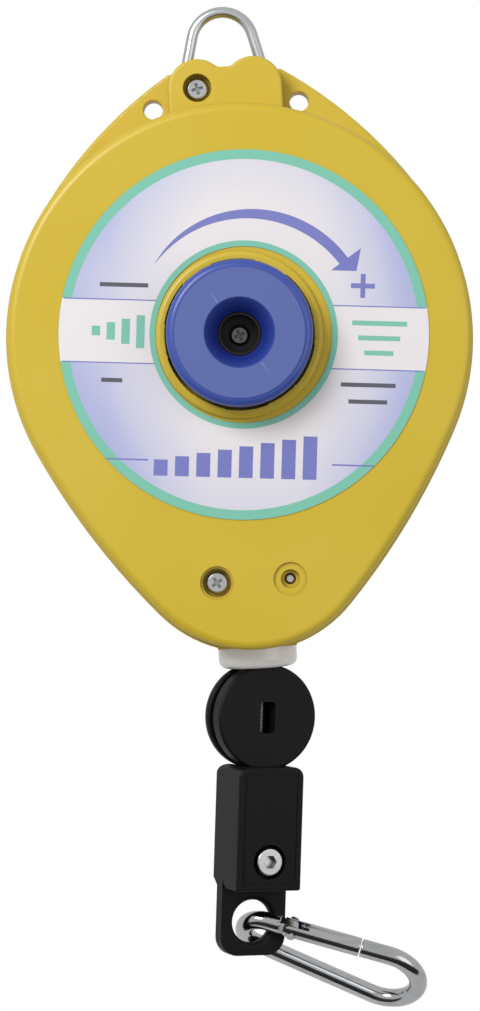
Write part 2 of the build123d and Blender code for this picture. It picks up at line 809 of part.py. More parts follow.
with BuildPart() as mainspring:
    with BuildSketch(facing(strip_front)):
        with BuildLine():
            for half in range(2 * strip_turns):
                middle = (half % 2) * strip_pitch / 2
                radius = strip_mid + half * strip_pitch / 2
                CenterArc((middle, 0), radius - strip_t / 2, 180 * (half % 2), 180)
                CenterArc((middle, 0), radius + strip_t / 2, 180 * (half % 2), 180)
            strip_end = strip_mid + strip_turns * strip_pitch
            Line((strip_mid - strip_t / 2, 0), (strip_mid + strip_t / 2, 0))
            Line((strip_end - strip_t / 2, 0), (strip_end + strip_t / 2, 0))
        make_face()
    extrude(amount=-strip_w)

# Arbor and hub

with BuildPart() as spring_arbor:
    with BuildSketch(facing(nose_y)):
        Rectangle(nose_af, nose_af)
    extrude(amount=nose_y - well_floor)
    with BuildSketch(facing(well_floor)):
        Circle(arbor_r)
    extrude(amount=well_floor - arbor_end)
    with BuildSketch(facing(core_front)):
        Circle(core_r)
    extrude(amount=core_front - core_rear)
    with BuildSketch(facing(circlip_y)):
        Circle(arbor_r)
        Circle(arbor_r - circlip_groove, mode=Mode.SUBTRACT)
    extrude(amount=-circlip_t, mode=Mode.SUBTRACT)
    with BuildSketch(behind(arbor_end)):
        RegularPolygon(tail_af / 2, 6, major_radius=False)
    extrude(amount=-tail_socket, mode=Mode.SUBTRACT)
    with Locations(facing(nose_y)):
        Hole(hub_screw_r, hub_screw_l)

with BuildPart() as knob_hub:
    with BuildSketch(facing(hub_back)):
        Circle(hub_base_r)
    extrude(amount=hub_base_t)
    with BuildSketch(facing(hub_back - hub_base_t)):
        RegularPolygon(hub_af / 2, 6, major_radius=False)
    extrude(amount=hub_hex_l)
    with BuildSketch(facing(hub_back - hub_base_t - hub_hex_l)):
        Circle(hub_r)
    extrude(amount=hub_back - hub_base_t - hub_hex_l - hub_y)
    with Locations(facing(hub_y)):
        Hole(hub_bore_r, hub_floor_y - hub_y)
    with Locations(facing(hub_floor_y)):
        CounterBoreHole(hub_screw_r + seat, hub_seat_r, hub_seat_depth, hub_seat_depth + hub_web)
    with BuildSketch(behind(hub_back)):
        Rectangle(nose_af + 2 * seat, nose_af + 2 * seat)
    extrude(amount=nose_y - seat - hub_back, mode=Mode.SUBTRACT)

with BuildPart() as hub_screw:
    add(placed(
        cross_screw(hub_screw_head_r, hub_screw_head_t, hub_screw_r - seat, hub_screw_l, hub_screw_turn),
        facing(hub_seat_y),
    ))

with BuildPart() as arbor_washer:
    add(rings((arbor_r + seat, washer_r, dish_floor, dish_floor + washer_t)))

with BuildPart() as retaining_ring:
    with BuildSketch(facing(circlip_y)):
        Circle(circlip_r)
        Circle(arbor_r - circlip_groove + seat, mode=Mode.SUBTRACT)
        add(sector(circlip_r + wall, circlip_open), mode=Mode.SUBTRACT)
    extrude(amount=seat - circlip_t)

# Knob

with BuildPart() as adjust_knob:
    with BuildSketch(facing(knob_y + knob_rim)):
        Circle(knob_r)
    extrude(amount=knob_rim - knob_face_step)
    fillet(adjust_knob.faces().sort_by(Axis.Y)[0].edges(), knob_rim_round)
    with BuildSketch(facing(knob_y + knob_face_step)):
        Circle(knob_face_r)
    extrude(amount=knob_face_step)
    with BuildSketch(facing(knob_y + knob_rim)):
        Circle(knob_skirt_r)
        with PolarLocations(0, knob_lug_count, start_angle=knob_lug_turn):
            add(sector(knob_r, knob_lug_span))
    extrude(amount=knob_rim - knob_length)
    with BuildSketch(facing(knob_y + knob_ceiling)):
        Circle(knob_inner_r)
    extrude(amount=knob_ceiling - knob_length, mode=Mode.SUBTRACT)
    with BuildSketch(facing(knob_y + knob_ceiling)):
        Circle(sleeve_r)
    extrude(amount=knob_ceiling - sleeve_length)
    with BuildSketch(facing(knob_y + funnel_depth + throat_lip)):
        RegularPolygon(hub_af / 2 + hex_gap, 6, major_radius=False)
    extrude(amount=funnel_depth + throat_lip - sleeve_length, mode=Mode.SUBTRACT)
    with BuildSketch(facing(knob_y)):
        Circle(knob_throat_r)
    extrude(amount=-funnel_depth - throat_lip, mode=Mode.SUBTRACT)
    with BuildSketch(facing(knob_y)):
        Circle(funnel_r)
    with BuildSketch(facing(knob_y + funnel_depth)):
        Circle(knob_throat_r)
    loft(mode=Mode.SUBTRACT)

spring_low = well_floor - knob_spring_wire_r - seat
spring_high = knob_y + knob_ceiling + knob_spring_wire_r + seat

with BuildPart() as knob_spring:
    with BuildLine() as spring_line:
        Helix(
            (spring_low - spring_high) / knob_spring_turns, spring_low - spring_high, knob_spring_r,
            center=(0, spring_low, drum_z), direction=(0, -1, 0),
        )
    with BuildSketch(Plane(origin=spring_line.wires()[0] @ 0, z_dir=spring_line.wires()[0] % 0)):
        Circle(knob_spring_wire_r)
    sweep(path=spring_line.wires()[0], is_frenet=True)

# Rope stop and clamp, in the hanging group's own frame

with BuildPart() as stop_body:
    with BuildSketch(hung(stop_rear, stop_drop)):
        Circle(stop_r)
    extrude(amount=stop_rear + stop_groove_front - stop_groove_w)
    with BuildSketch(hung(stop_groove_w - stop_groove_front, stop_drop)):
        Circle(stop_groove_r)
    extrude(amount=stop_groove_w)
    with BuildSketch(hung(-stop_groove_front, stop_drop)):
        Circle(stop_r)
    extrude(amount=stop_front - stop_groove_front)
    rims = stop_body.edges().filter_by(GeomType.CIRCLE).filter_by(lambda e: e.radius > stop_r - seat)
    fillet(rims, stop_round)
    with BuildSketch(hung(-stop_front, stop_drop)):
        RectangleRounded(window_w, window_h, window_round)
    extrude(amount=-window_depth, mode=Mode.SUBTRACT)
    with BuildSketch(Plane.XY):
        Circle(rope_r + rope_clear)
    extrude(amount=-stop_drop - stop_r, mode=Mode.SUBTRACT)


def clamp_cuts():
    """What both halves of the clamp leave free: stop, rope, crimped sleeve and screw."""
    with BuildPart() as cuts:
        with BuildSketch(hung(stop_rear + saddle_gap, stop_drop)):
            Circle(stop_r + saddle_gap)
        extrude(amount=stop_rear + stop_front + 2 * saddle_gap)
        with BuildSketch(Plane.XY):
            Circle(rope_r + rope_clear)
        extrude(amount=-sleeve_top)
        with BuildSketch(Plane.XY.offset(-sleeve_top + seat)):
            Circle(rope_sleeve_r + seat)
        extrude(amount=-sleeve_l - 2 * seat)
        with BuildSketch(hung(clamp_rear_t, clamp_screw_drop)):
            Circle(clamp_screw_r + seat)
        extrude(amount=clamp_rear_t + clamp_front_t)
    return cuts.part


clamp_seat = clamp_head_t - clamp_head_proud

with BuildPart() as front_half:
    with BuildSketch(hung(0, clamp_top + clamp_h / 2)) as outline:
        Rectangle(clamp_w, clamp_h)
        fillet(outline.vertices().group_by(Axis.Y)[-1], clamp_corner)
        fillet(outline.vertices().group_by(Axis.Y)[0], clamp_foot_corner)
    extrude(amount=clamp_front_t)
    fillet(front_half.faces().sort_by(Axis.Y)[0].edges(), clamp_edge)
    with BuildSketch(Plane.YZ.offset(-clamp_w / 2)) as side:
        with BuildLine():
            Polyline(
                (0, -clamp_top), (0, -clamp_bottom), (-clamp_front_t, -clamp_bottom),
                (-clamp_front_t, -clamp_top), close=True,
            )
        make_face()
        fillet(side.vertices().group_by(Axis.Y)[0].sort_by(Axis.Z)[-1], clamp_brow)
    extrude(amount=clamp_w, mode=Mode.INTERSECT)
    with BuildSketch(hung(-clamp_front_t, clamp_top + clamp_h / 2)):
        RectangleRounded(clamp_w - 2 * frame_inset, clamp_h - 2 * frame_inset, frame_corner)
        RectangleRounded(
            clamp_w - 2 * frame_inset - 2 * frame_line, clamp_h - 2 * frame_inset - 2 * frame_line,
            frame_corner - frame_line, mode=Mode.SUBTRACT,
        )
    extrude(amount=-frame_depth, mode=Mode.SUBTRACT)
    with Locations(hung(-clamp_front_t, clamp_screw_drop)):
        CounterBoreHole(clamp_screw_r + seat, clamp_bore_r, clamp_seat, clamp_front_t)
    add(clamp_cuts(), mode=Mode.SUBTRACT)

with BuildPart() as rear_half:
    with BuildSketch(Plane.YZ.offset(-clamp_w / 2)) as side:
        with BuildLine():
            Polyline(
                (0, -clamp_top), (clamp_rear_t, -clamp_top), (clamp_rear_t, -clamp_top - clamp_rear_h),
                (lug_t, -clamp_top - clamp_rear_h - lug_ramp_h), (lug_t, -lug_drop), (0, -lug_drop),
                close=True,
            )
        make_face()
        fillet(side.vertices().group_by(Axis.Y)[-1].sort_by(Axis.Z)[-1], clamp_rear_brow)
    extrude(amount=clamp_w)
    with BuildSketch(hung(0, (clamp_top + lug_drop) / 2)) as outline:
        Rectangle(clamp_w, lug_drop - clamp_top)
        fillet(outline.vertices().group_by(Axis.Y)[-1], clamp_corner)
        fillet(outline.vertices().group_by(Axis.Y)[0], lug_corner)
    extrude(amount=-clamp_rear_t, mode=Mode.INTERSECT)
    with BuildSketch(hung(0, lug_hole_drop)):
        Circle(lug_hole_r)
    extrude(amount=-lug_t, mode=Mode.SUBTRACT)
    rims = rear_half.edges().filter_by(GeomType.CIRCLE).filter_by(
        lambda e: abs(e.radius - lug_hole_r) < seat and e.length > 2 * lug_hole_r
    )
    fillet(rims, lug_hole_rim)
    with BuildSketch(hung(nut_y, clamp_screw_drop)):
        RegularPolygon(nut_af / 2 + seat, 6, major_radius=False)
    extrude(amount=nut_y - clamp_rear_t, mode=Mode.SUBTRACT)
    add(clamp_cuts(), mode=Mode.SUBTRACT)

with BuildPart() as cap_screw:
    with BuildSketch(hung(clamp_seat - clamp_front_t, clamp_screw_drop)):
        Circle(clamp_head_r)
    extrude(amount=clamp_head_t)
    fillet(cap_screw.faces().sort_by(Axis.Y)[0].edges(), clamp_head_round)
    with BuildSketch(hung(-clamp_front_t - clamp_head_proud, clamp_screw_drop)):
        RegularPolygon(clamp_socket_af / 2, 6, major_radius=False)
    extrude(amount=-clamp_socket_depth, mode=Mode.SUBTRACT)
    with BuildSketch(hung(clamp_seat - clamp_front_t, clamp_screw_drop)):
        Circle(clamp_screw_r)
    extrude(amount=clamp_seat - clamp_front_t - nut_y - nut_t)

with BuildPart() as hex_nut:
    with BuildSketch(hung(nut_y, clamp_screw_drop)):
        RegularPolygon(nut_af / 2, 6, major_radius=False)
        Circle(clamp_screw_r + seat, mode=Mode.SUBTRACT)
    extrude(amount=-nut_t)

with BuildPart() as crimp:
    with BuildSketch(Plane.XY.offset(-sleeve_top)):
        Circle(rope_sleeve_r)
        Circle(rope_r + seat, mode=Mode.SUBTRACT)
    extrude(amount=-sleeve_l)

with BuildPart() as hanging_rope:
    with BuildSketch(Plane.XY.offset(pivot_drop - rope_lead_end - rope_joint)):
        Circle(rope_r)
    extrude(amount=rope_lead_end + rope_joint - pivot_drop - sleeve_top - sleeve_l)

with BuildPart() as rope_stop:
    add(placed(stop_body.part, group))

with BuildPart() as clamp_front:
    add(placed(front_half.part, group))

with BuildPart() as clamp_rear:
    add(placed(rear_half.part, group))

with BuildPart() as clamp_screw:
    add(placed(cap_screw.part, group))

with BuildPart() as clamp_nut:
    add(placed(hex_nut.part, group))

with BuildPart() as rope_sleeve:
    add(placed(crimp.part, group))

with BuildPart() as rope_tail:
    add(placed(hanging_rope.part, group))

# Snap hook

hook_span = hook_length - hook_small_r - hook_large_r - 2 * hook_wire_r
taper = asin((hook_large_r - hook_small_r) / hook_span)
dip = radians(hook_dip)
roll = radians(hook_roll)
hook_right = Vector(cos(dip), 0, -sin(dip))
hook_back = Vector(-sin(roll) * sin(dip), cos(roll), -sin(roll) * cos(dip))
hook_plane = Plane(
    origin=(hook_x, hook_y, drum_z - hook_drop), x_dir=hook_right, z_dir=hook_right.cross(hook_back)
)
small_x = -hook_small_r * sin(taper)
small_z = hook_small_r * cos(taper)
large_x = hook_span - hook_large_r * sin(taper)
large_z = hook_large_r * cos(taper)


def gate_side(along):
    """A point of the hook's gate side, this far from the small bend."""
    return small_x + along * cos(taper), -small_z - along * sin(taper)


gate_plane = Plane(
    origin=hook_plane.from_local_coords(gate_side(0)),
    x_dir=hook_plane.from_local_coords(gate_side(1)) - hook_plane.from_local_coords(gate_side(0)),
    z_dir=hook_plane.z_dir,
)

with BuildPart() as hook_body:
    with BuildLine(hook_plane) as wire_line:
        Line(gate_side(gate_nose_at), (large_x, -large_z))
        ThreePointArc((large_x, -large_z), (hook_span + hook_large_r, 0), (large_x, large_z))
        Line((large_x, large_z), (small_x, small_z))
        ThreePointArc((small_x, small_z), (-hook_small_r, 0), (small_x, -small_z))
        Line(gate_side(0), gate_side(tongue_from))
    wire_path = wire_line.wires()[0]
    with BuildSketch(Plane(origin=wire_path @ 0, z_dir=wire_path % 0)):
        Circle(hook_wire_r)
    sweep(path=wire_path)
    fillet(hook_body.faces().filter_by(GeomType.PLANE).edges(), hook_end_round)
    with BuildSketch(gate_plane.offset(-tongue_t / 2)):
        with Locations((gate_pin_at, 0)):
            Circle(tongue_r)
            Rectangle(gate_pin_at - tongue_from + tongue_root, 2 * tongue_r, align=(Align.MAX, Align.CENTER))
            Circle(gate_pin_r + seat, mode=Mode.SUBTRACT)
    extrude(amount=tongue_t)

with BuildPart() as gate_pin:
    with BuildSketch(gate_plane.offset(-gate_r - seat - gate_pin_head_t)):
        with Locations((gate_pin_at, 0)):
            Circle(gate_pin_head_r)
    extrude(amount=gate_pin_head_t)
    with BuildSketch(gate_plane.offset(gate_r + seat)):
        with Locations((gate_pin_at, 0)):
            Circle(gate_pin_head_r)
    extrude(amount=gate_pin_head_t)
    with BuildSketch(gate_plane.offset(-gate_r - seat)):
        with Locations((gate_pin_at, 0)):
            Circle(gate_pin_r)
    extrude(amount=2 * gate_r + 2 * seat)

gate_across = Plane(
    origin=gate_plane.from_local_coords((gate_pin_at - ear_r, 0, 0)), z_dir=gate_plane.x_dir
)

with BuildPart() as hook_gate:
    with BuildSketch(gate_across):
        Circle(gate_r)
    extrude(amount=gate_nose_at - gate_gap - gate_pin_at + ear_r)
    fillet(hook_gate.faces().filter_by(GeomType.PLANE).edges(), hook_end_round)
    with BuildSketch(gate_plane.offset(-gate_r)):
        with Locations((gate_pin_at, 0)):
            Circle(ear_r)
            Rectangle(gate_nose_at, 2 * gate_r, align=(Align.MIN, Align.CENTER))
    extrude(amount=2 * gate_r, mode=Mode.INTERSECT)
    with BuildSketch(gate_plane.offset(-gate_r)):
        with Locations((gate_pin_at, 0)):
            Circle(gate_pin_r + running)
    extrude(amount=2 * gate_r, mode=Mode.SUBTRACT)
    with BuildSketch(gate_plane.offset(-tongue_t / 2 - tongue_gap)):
        Rectangle(gate_slot_end, 4 * gate_r, align=(Align.MIN, Align.CENTER))
    extrude(amount=tongue_t + 2 * tongue_gap, mode=Mode.SUBTRACT)
    with BuildSketch(gate_across):
        Circle(gate_bore_r)
    extrude(amount=gate_bore_end - gate_pin_at + ear_r, mode=Mode.SUBTRACT)

coil_start = gate_pin_at + tongue_r + gate_spring_wire_r + seat
coil_length = gate_bore_end - gate_spring_wire_r - seat - coil_start

with BuildPart() as gate_spring:
    with BuildLine() as coil_line:
        Helix(
            coil_length / gate_spring_turns, coil_length, gate_spring_r,
            center=gate_plane.from_local_coords((coil_start, 0, 0)), direction=gate_plane.x_dir,
        )
    with BuildSketch(Plane(origin=coil_line.wires()[0] @ 0, z_dir=coil_line.wires()[0] % 0)):
        Circle(gate_spring_wire_r)
    sweep(path=coil_line.wires()[0], is_frenet=True)

nodes = {
    "front_shell": front_shell,
    "rear_shell": rear_shell,
    "suspension_bail": suspension_bail,
    "front_casing_screws": front_casing_screws,
    "rear_casing_screws": rear_casing_screws,
    "label_disc": label_disc,
    "rope_guide": rope_guide,
    "front_bush": front_bush,
    "rear_bush": rear_bush,
    "rope_lead": rope_lead,
    "rope_drum": rope_drum,
    "drum_cover": drum_cover,
    "drum_cover_screws": drum_cover_screws,
    "drum_bushes": drum_bushes,
    "rope_winding": rope_winding,
    "rope_anchor": rope_anchor,
    "mainspring": mainspring,
    "spring_arbor": spring_arbor,
    "knob_hub": knob_hub,
    "hub_screw": hub_screw,
    "arbor_washer": arbor_washer,
    "retaining_ring": retaining_ring,
    "adjust_knob": adjust_knob,
    "knob_spring": knob_spring,
    "rope_stop": rope_stop,
    "clamp_front": clamp_front,
    "clamp_rear": clamp_rear,
    "clamp_screw": clamp_screw,
    "clamp_nut": clamp_nut,
    "rope_sleeve": rope_sleeve,
    "rope_tail": rope_tail,
    "hook_body": hook_body,
    "gate_pin": gate_pin,
    "hook_gate": hook_gate,
    "gate_spring": gate_spring,
}

os.makedirs("parts", exist_ok=True)
for name, piece in nodes.items():
    piece.part.label = name
    export_step(piece.part, f"parts/{name}.step")
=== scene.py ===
"""Looks of a light tool balancer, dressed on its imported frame.

The frame's origin is the hook seat, +X is to the right, +Y to the back and +Z up. Metres throughout.
"""

from __future__ import annotations

import json
import logging
import math
from dataclasses import dataclass, field
from enum import Enum
from typing import Callable, ClassVar, Iterable, Sequence

import bmesh
import bpy
from mathutils import Matrix, Vector

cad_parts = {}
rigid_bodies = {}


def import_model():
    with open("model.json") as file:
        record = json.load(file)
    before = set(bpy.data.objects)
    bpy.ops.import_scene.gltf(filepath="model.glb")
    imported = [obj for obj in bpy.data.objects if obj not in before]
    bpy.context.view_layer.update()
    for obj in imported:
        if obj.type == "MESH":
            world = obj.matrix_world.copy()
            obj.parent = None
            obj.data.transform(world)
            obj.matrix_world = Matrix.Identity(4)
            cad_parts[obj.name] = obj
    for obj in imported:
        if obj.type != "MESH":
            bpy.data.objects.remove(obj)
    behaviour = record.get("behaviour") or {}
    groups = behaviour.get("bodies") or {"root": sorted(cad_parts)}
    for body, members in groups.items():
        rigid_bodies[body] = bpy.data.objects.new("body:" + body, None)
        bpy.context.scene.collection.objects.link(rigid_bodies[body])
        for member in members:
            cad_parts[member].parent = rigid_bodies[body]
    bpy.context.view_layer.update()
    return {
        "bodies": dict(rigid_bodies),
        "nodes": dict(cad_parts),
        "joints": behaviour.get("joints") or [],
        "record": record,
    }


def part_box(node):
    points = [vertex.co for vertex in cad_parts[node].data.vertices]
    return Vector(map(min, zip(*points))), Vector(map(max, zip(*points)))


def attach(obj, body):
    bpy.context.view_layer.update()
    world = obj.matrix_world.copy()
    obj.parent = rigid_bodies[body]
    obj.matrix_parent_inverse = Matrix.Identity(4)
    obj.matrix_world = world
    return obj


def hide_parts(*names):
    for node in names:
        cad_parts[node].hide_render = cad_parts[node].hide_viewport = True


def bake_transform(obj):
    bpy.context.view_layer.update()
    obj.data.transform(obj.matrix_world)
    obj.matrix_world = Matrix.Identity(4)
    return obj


LOG = logging.getLogger("balancer")
MM = 0.001

FULL_INK = 255
GAMMA_SPLIT = 0.04045
GAMMA_SLOPE = 12.92
GAMMA_LIFT = 0.055
GAMMA_POWER = 2.4

LABEL_X = 1.3 * MM
LABEL_TURN = math.radians(-4.9)
LABEL_BAND = 9.8 * MM

Point2 = tuple[float, float]
Point3 = tuple[float, float, float]


class Ink(Enum):
    """Named colours as they look in daylight, 0 to 255."""

    YELLOW = (204, 176, 38)
    YELLOW_DUST = (222, 196, 84)
    TEAL = (120, 194, 170)
    LAVENDER = (186, 190, 224)
    LAVENDER_DEEP = (150, 155, 208)
    VIOLET = (116, 120, 190)
    WHITE = (233, 228, 229)
    KNOB_BLUE = (52, 74, 158)
    # Pale blue for the painted light on the flat face and for the real scuffs.
    KNOB_WORN_AND_LIT = (87, 102, 163)
    # Dark blue for the painted shade inside the funnel.
    KNOB_FUNNEL_SHADE = (26, 44, 132)
    # Pale blue of the real weld line, also used for the painted highlight on the funnel's lip.
    KNOB_WELD_AND_GLINT = (150, 165, 216)
    BLACK = (7, 7, 7)
    BLACK_WORN = (36, 34, 33)
    HUB_BLACK = (14, 14, 15)
    # Painted shade, laid into corners and recesses.
    PAINTED_SHADE = (36, 32, 28)
    NYLON = (242, 238, 236)
    NYLON_SHADE = (218, 213, 209)
    ZINC = (196, 198, 200)
    ZINC_DULL = (150, 150, 148)
    STEEL = (190, 192, 194)
    STEEL_DARK = (92, 93, 96)
    SCREW_DARK = (98, 100, 104)
    # Bright wire, made paler still to paint light on the strands in the stop's shaded window.
    ROPE_WIRE_AND_LIGHT = (236, 238, 240)
    BLUED = (72, 74, 80)
    ALUMINIUM = (200, 201, 203)
    BRONZE = (168, 128, 84)
    DRUM_GREY = (52, 53, 56)
    TEXT_GREY = (86, 86, 98)

    def linear(self) -> tuple[float, float, float, float]:
        """Return the colour in linear light with a full alpha."""
        steps = []
        for value in self.value:
            share = value / FULL_INK
            if share <= GAMMA_SPLIT:
                steps.append(share / GAMMA_SLOPE)
            else:
                steps.append(((share + GAMMA_LIFT) / (1 + GAMMA_LIFT)) ** GAMMA_POWER)
        return (steps[0], steps[1], steps[2], 1.0)


@dataclass
class Graph:
    """A small helper that adds and links nodes in one tree."""

    tree: bpy.types.NodeTree
    MIX_FACTOR: ClassVar[int] = 0
    MIX_FIRST: ClassVar[int] = 6
    MIX_SECOND: ClassVar[int] = 7
    MIX_RESULT: ClassVar[int] = 2

    def add(self, kind: str, **settings: object) -> bpy.types.Node:
        """Add a node.

        Args:
            kind: The node's type name.
            settings: Properties set on the node.

        Returns:
            The new node.
        """
        node = self.tree.nodes.new(kind)
        for key, value in settings.items():
            setattr(node, key, value)
        return node

    def link(self, source: bpy.types.NodeSocket, target: bpy.types.NodeSocket) -> None:
        """Join two sockets."""
        self.tree.links.new(source, target)

    def math(
        self, operation: str, first: object, second: object = 0.0, clamp: bool = False
    ) -> bpy.types.NodeSocket:
        """Add a Math node.

        Args:
            operation: What it works out.
            first: A number or a socket.
            second: A number or a socket.
            clamp: Whether the result stays between 0 and 1.

        Returns:
            The node's output.
        """
        node = self.add("ShaderNodeMath", operation=operation, use_clamp=clamp)
        for socket, value in zip(node.inputs, (first, second)):
            if isinstance(value, bpy.types.NodeSocket):
                self.link(value, socket)
            else:
                socket.default_value = value
        return node.outputs[0]

    def mix(self, factor: object, first: object, second: object) -> bpy.types.NodeSocket:
        """Mix two colours.

        Args:
            factor: A number or a socket, 0 for the first colour and 1 for the second.
            first: A colour or a socket.
            second: A colour or a socket.

        Returns:
            The mixed colour.
        """
        node = self.add("ShaderNodeMix", data_type="RGBA")
        places = (self.MIX_FACTOR, self.MIX_FIRST, self.MIX_SECOND)
        for place, value in zip(places, (factor, first, second)):
            if isinstance(value, bpy.types.NodeSocket):
                self.link(value, node.inputs[place])
            else:
                node.inputs[place].default_value = value
        return node.outputs[self.MIX_RESULT]

    def step(self, value: bpy.types.NodeSocket, low: float, high: float) -> bpy.types.NodeSocket:
        """Return a mask that rises from 0 at low to 1 at high."""
        node = self.add("ShaderNodeMapRange")
        self.link(value, node.inputs[0])
        node.inputs[1].default_value = low
        node.inputs[2].default_value = high
        return node.outputs[0]

    def scaled(self, value: bpy.types.NodeSocket, share: object) -> bpy.types.NodeSocket:
        """Return a value times a number or another value."""
        return self.math("MULTIPLY", value, share)

    def turned(self, centre: Point3, angle: float) -> tuple[bpy.types.NodeSocket, ...]:
        """Read Object coordinates about a centre, turned about Y.

        Args:
            centre: The place that becomes the origin.
            angle: The turn in radians.

        Returns:
            The whole vector, its part across and its part up.
        """
        place = self.add("ShaderNodeTexCoord")
        turned = self.add("ShaderNodeMapping", vector_type="TEXTURE")
        turned.inputs["Location"].default_value = centre
        turned.inputs["Rotation"].default_value = (0.0, angle, 0.0)
        self.link(place.outputs["Object"], turned.inputs["Vector"])
        split = self.add("ShaderNodeSeparateXYZ")
        self.link(turned.outputs[0], split.inputs[0])
        return turned.outputs[0], split.outputs[0], split.outputs[2]

    def radius(self, across: bpy.types.NodeSocket, up: bpy.types.NodeSocket) -> bpy.types.NodeSocket:
        """Return the distance from the axis that runs front to back."""
        flat = self.add("ShaderNodeCombineXYZ")
        self.link(across, flat.inputs[0])
        self.link(up, flat.inputs[2])
        length = self.add("ShaderNodeVectorMath", operation="LENGTH")
        self.link(flat.outputs[0], length.inputs[0])
        return length.outputs["Value"]

    def bump(self, height: bpy.types.NodeSocket, strength: float, depth: float) -> bpy.types.NodeSocket:
        """Return the normal of a surface raised by a height."""
        bump = self.add("ShaderNodeBump")
        bump.inputs["Strength"].default_value = strength
        bump.inputs["Distance"].default_value = depth
        self.link(height, bump.inputs["Height"])
        return bump.outputs[0]


def new_material(name: str, **values: float) -> tuple[bpy.types.Material, Graph, bpy.types.Node]:
    """Start a material.

    Args:
        name: Its name.
        values: Plain values of its shader, with underscores for the spaces in their names.

    Returns:
        The material, its graph and its shader.
    """
    material = bpy.data.materials.new(name)
    material.use_nodes = True
    shader = material.node_tree.nodes["Principled BSDF"]
    for label, value in values.items():
        shader.inputs[label.replace("_", " ")].default_value = value
    return material, Graph(material.node_tree), shader


def new_group(
    name: str, inputs: Sequence[tuple[str, float]], outputs: Sequence[str]
) -> tuple[Graph, bpy.types.Node, bpy.types.Node]:
    """Start a shader node group.

    Args:
        name: The group's name.
        inputs: Names and first values of its number inputs.
        outputs: Names of its number outputs.

    Returns:
        The graph, the input node and the output node.
    """
    tree = bpy.data.node_groups.new(name, "ShaderNodeTree")
    for label, value in inputs:
        socket = tree.interface.new_socket(label, in_out="INPUT", socket_type="NodeSocketFloat")
        socket.default_value = value
    for label in outputs:
        tree.interface.new_socket(label, in_out="OUTPUT", socket_type="NodeSocketFloat")
    graph = Graph(tree)
    return graph, graph.add("NodeGroupInput"), graph.add("NodeGroupOutput")


def moulded_grain() -> bpy.types.NodeTree:
    """Build the fine grain of a moulded or cast surface.

    Returns:
        A group with a Height and a Variation output.
    """
    graph, given, result = new_group(
        "Moulded grain", (("Scale", 900.0), ("Detail", 3.0), ("Patch Scale", 25.0)), ("Height", "Variation")
    )
    place = graph.add("ShaderNodeTexCoord")
    fine = graph.add("ShaderNodeTexNoise")
    broad = graph.add("ShaderNodeTexNoise")
    graph.link(place.outputs["Object"], fine.inputs["Vector"])
    graph.link(place.outputs["Object"], broad.inputs["Vector"])
    graph.link(given.outputs["Scale"], fine.inputs["Scale"])
    graph.link(given.outputs["Detail"], fine.inputs["Detail"])
    graph.link(given.outputs["Patch Scale"], broad.inputs["Scale"])
    graph.link(fine.outputs[0], result.inputs["Height"])
    graph.link(broad.outputs[0], result.inputs["Variation"])
    return graph.tree


def scuffs() -> bpy.types.NodeTree:
    """Build worn specks and short scratches.

    Returns:
        A group with a Mask output.
    """
    speck_detail, speck_edge = 6.0, 6.0
    scratch_turn, scratch_stretch, scratch_edge = math.radians(33), 14.0, 8.0
    graph, given, result = new_group(
        "Scuffs", (("Scale", 160.0), ("Amount", 0.35), ("Scratch Scale", 60.0)), ("Mask",)
    )
    place = graph.add("ShaderNodeTexCoord")
    speck = graph.add("ShaderNodeTexNoise")
    speck.inputs["Detail"].default_value = speck_detail
    graph.link(place.outputs["Object"], speck.inputs["Vector"])
    graph.link(given.outputs["Scale"], speck.inputs["Scale"])
    stretch = graph.add("ShaderNodeMapping")
    stretch.inputs["Rotation"].default_value = (0.0, scratch_turn, 0.0)
    stretch.inputs["Scale"].default_value = (1.0, 1.0, scratch_stretch)
    graph.link(place.outputs["Object"], stretch.inputs["Vector"])
    scratch = graph.add("ShaderNodeTexNoise")
    graph.link(stretch.outputs[0], scratch.inputs["Vector"])
    graph.link(given.outputs["Scratch Scale"], scratch.inputs["Scale"])
    edge = graph.math("SUBTRACT", 1.0, given.outputs["Amount"])
    specks = graph.math("MULTIPLY", graph.math("SUBTRACT", speck.outputs[0], edge), speck_edge, clamp=True)
    lines = graph.math("MULTIPLY", graph.math("SUBTRACT", scratch.outputs[0], edge), scratch_edge, clamp=True)
    graph.link(graph.math("MAXIMUM", specks, lines), result.inputs["Mask"])
    return graph.tree


def drawn_streaks() -> bpy.types.NodeTree:
    """Build the long streaks of drawn or turned metal.

    Returns:
        A group with a Height and a Mask output.
    """
    middle, streak_edge = 0.5, 4.0
    graph, given, result = new_group(
        "Drawn streaks", (("Scale", 500.0), ("Length", 0.05)), ("Height", "Mask")
    )
    place = graph.add("ShaderNodeTexCoord")
    joined = graph.add("ShaderNodeCombineXYZ")
    split = graph.add("ShaderNodeSeparateXYZ")
    graph.link(place.outputs["Object"], split.inputs[0])
    graph.link(graph.math("MULTIPLY", split.outputs[0], given.outputs["Length"]), joined.inputs[0])
    graph.link(split.outputs[1], joined.inputs[1])
    graph.link(split.outputs[2], joined.inputs[2])
    noise = graph.add("ShaderNodeTexNoise")
    graph.link(joined.outputs[0], noise.inputs["Vector"])
    graph.link(given.outputs["Scale"], noise.inputs["Scale"])
    graph.link(noise.outputs[0], result.inputs["Height"])
    above = graph.math("SUBTRACT", noise.outputs[0], middle)
    graph.link(graph.math("MULTIPLY", above, streak_edge, clamp=True), result.inputs["Mask"])
    return graph.tree


def crevices() -> bpy.types.NodeTree:
    """Find the corners and recesses that get painted shade.

    Returns:
        A group with a Mask output.
    """
    open_share, rays = 0.92, 8
    graph, given, result = new_group("Crevices", (("Distance", 1.6 * MM), ("Reach", 2.0)), ("Mask",))
    hidden = graph.add("ShaderNodeAmbientOcclusion", samples=rays)
    graph.link(given.outputs["Distance"], hidden.inputs["Distance"])
    covered = graph.math("SUBTRACT", open_share, hidden.outputs["AO"])
    graph.link(graph.math("MULTIPLY", covered, given.outputs["Reach"], clamp=True), result.inputs["Mask"])
    return graph.tree


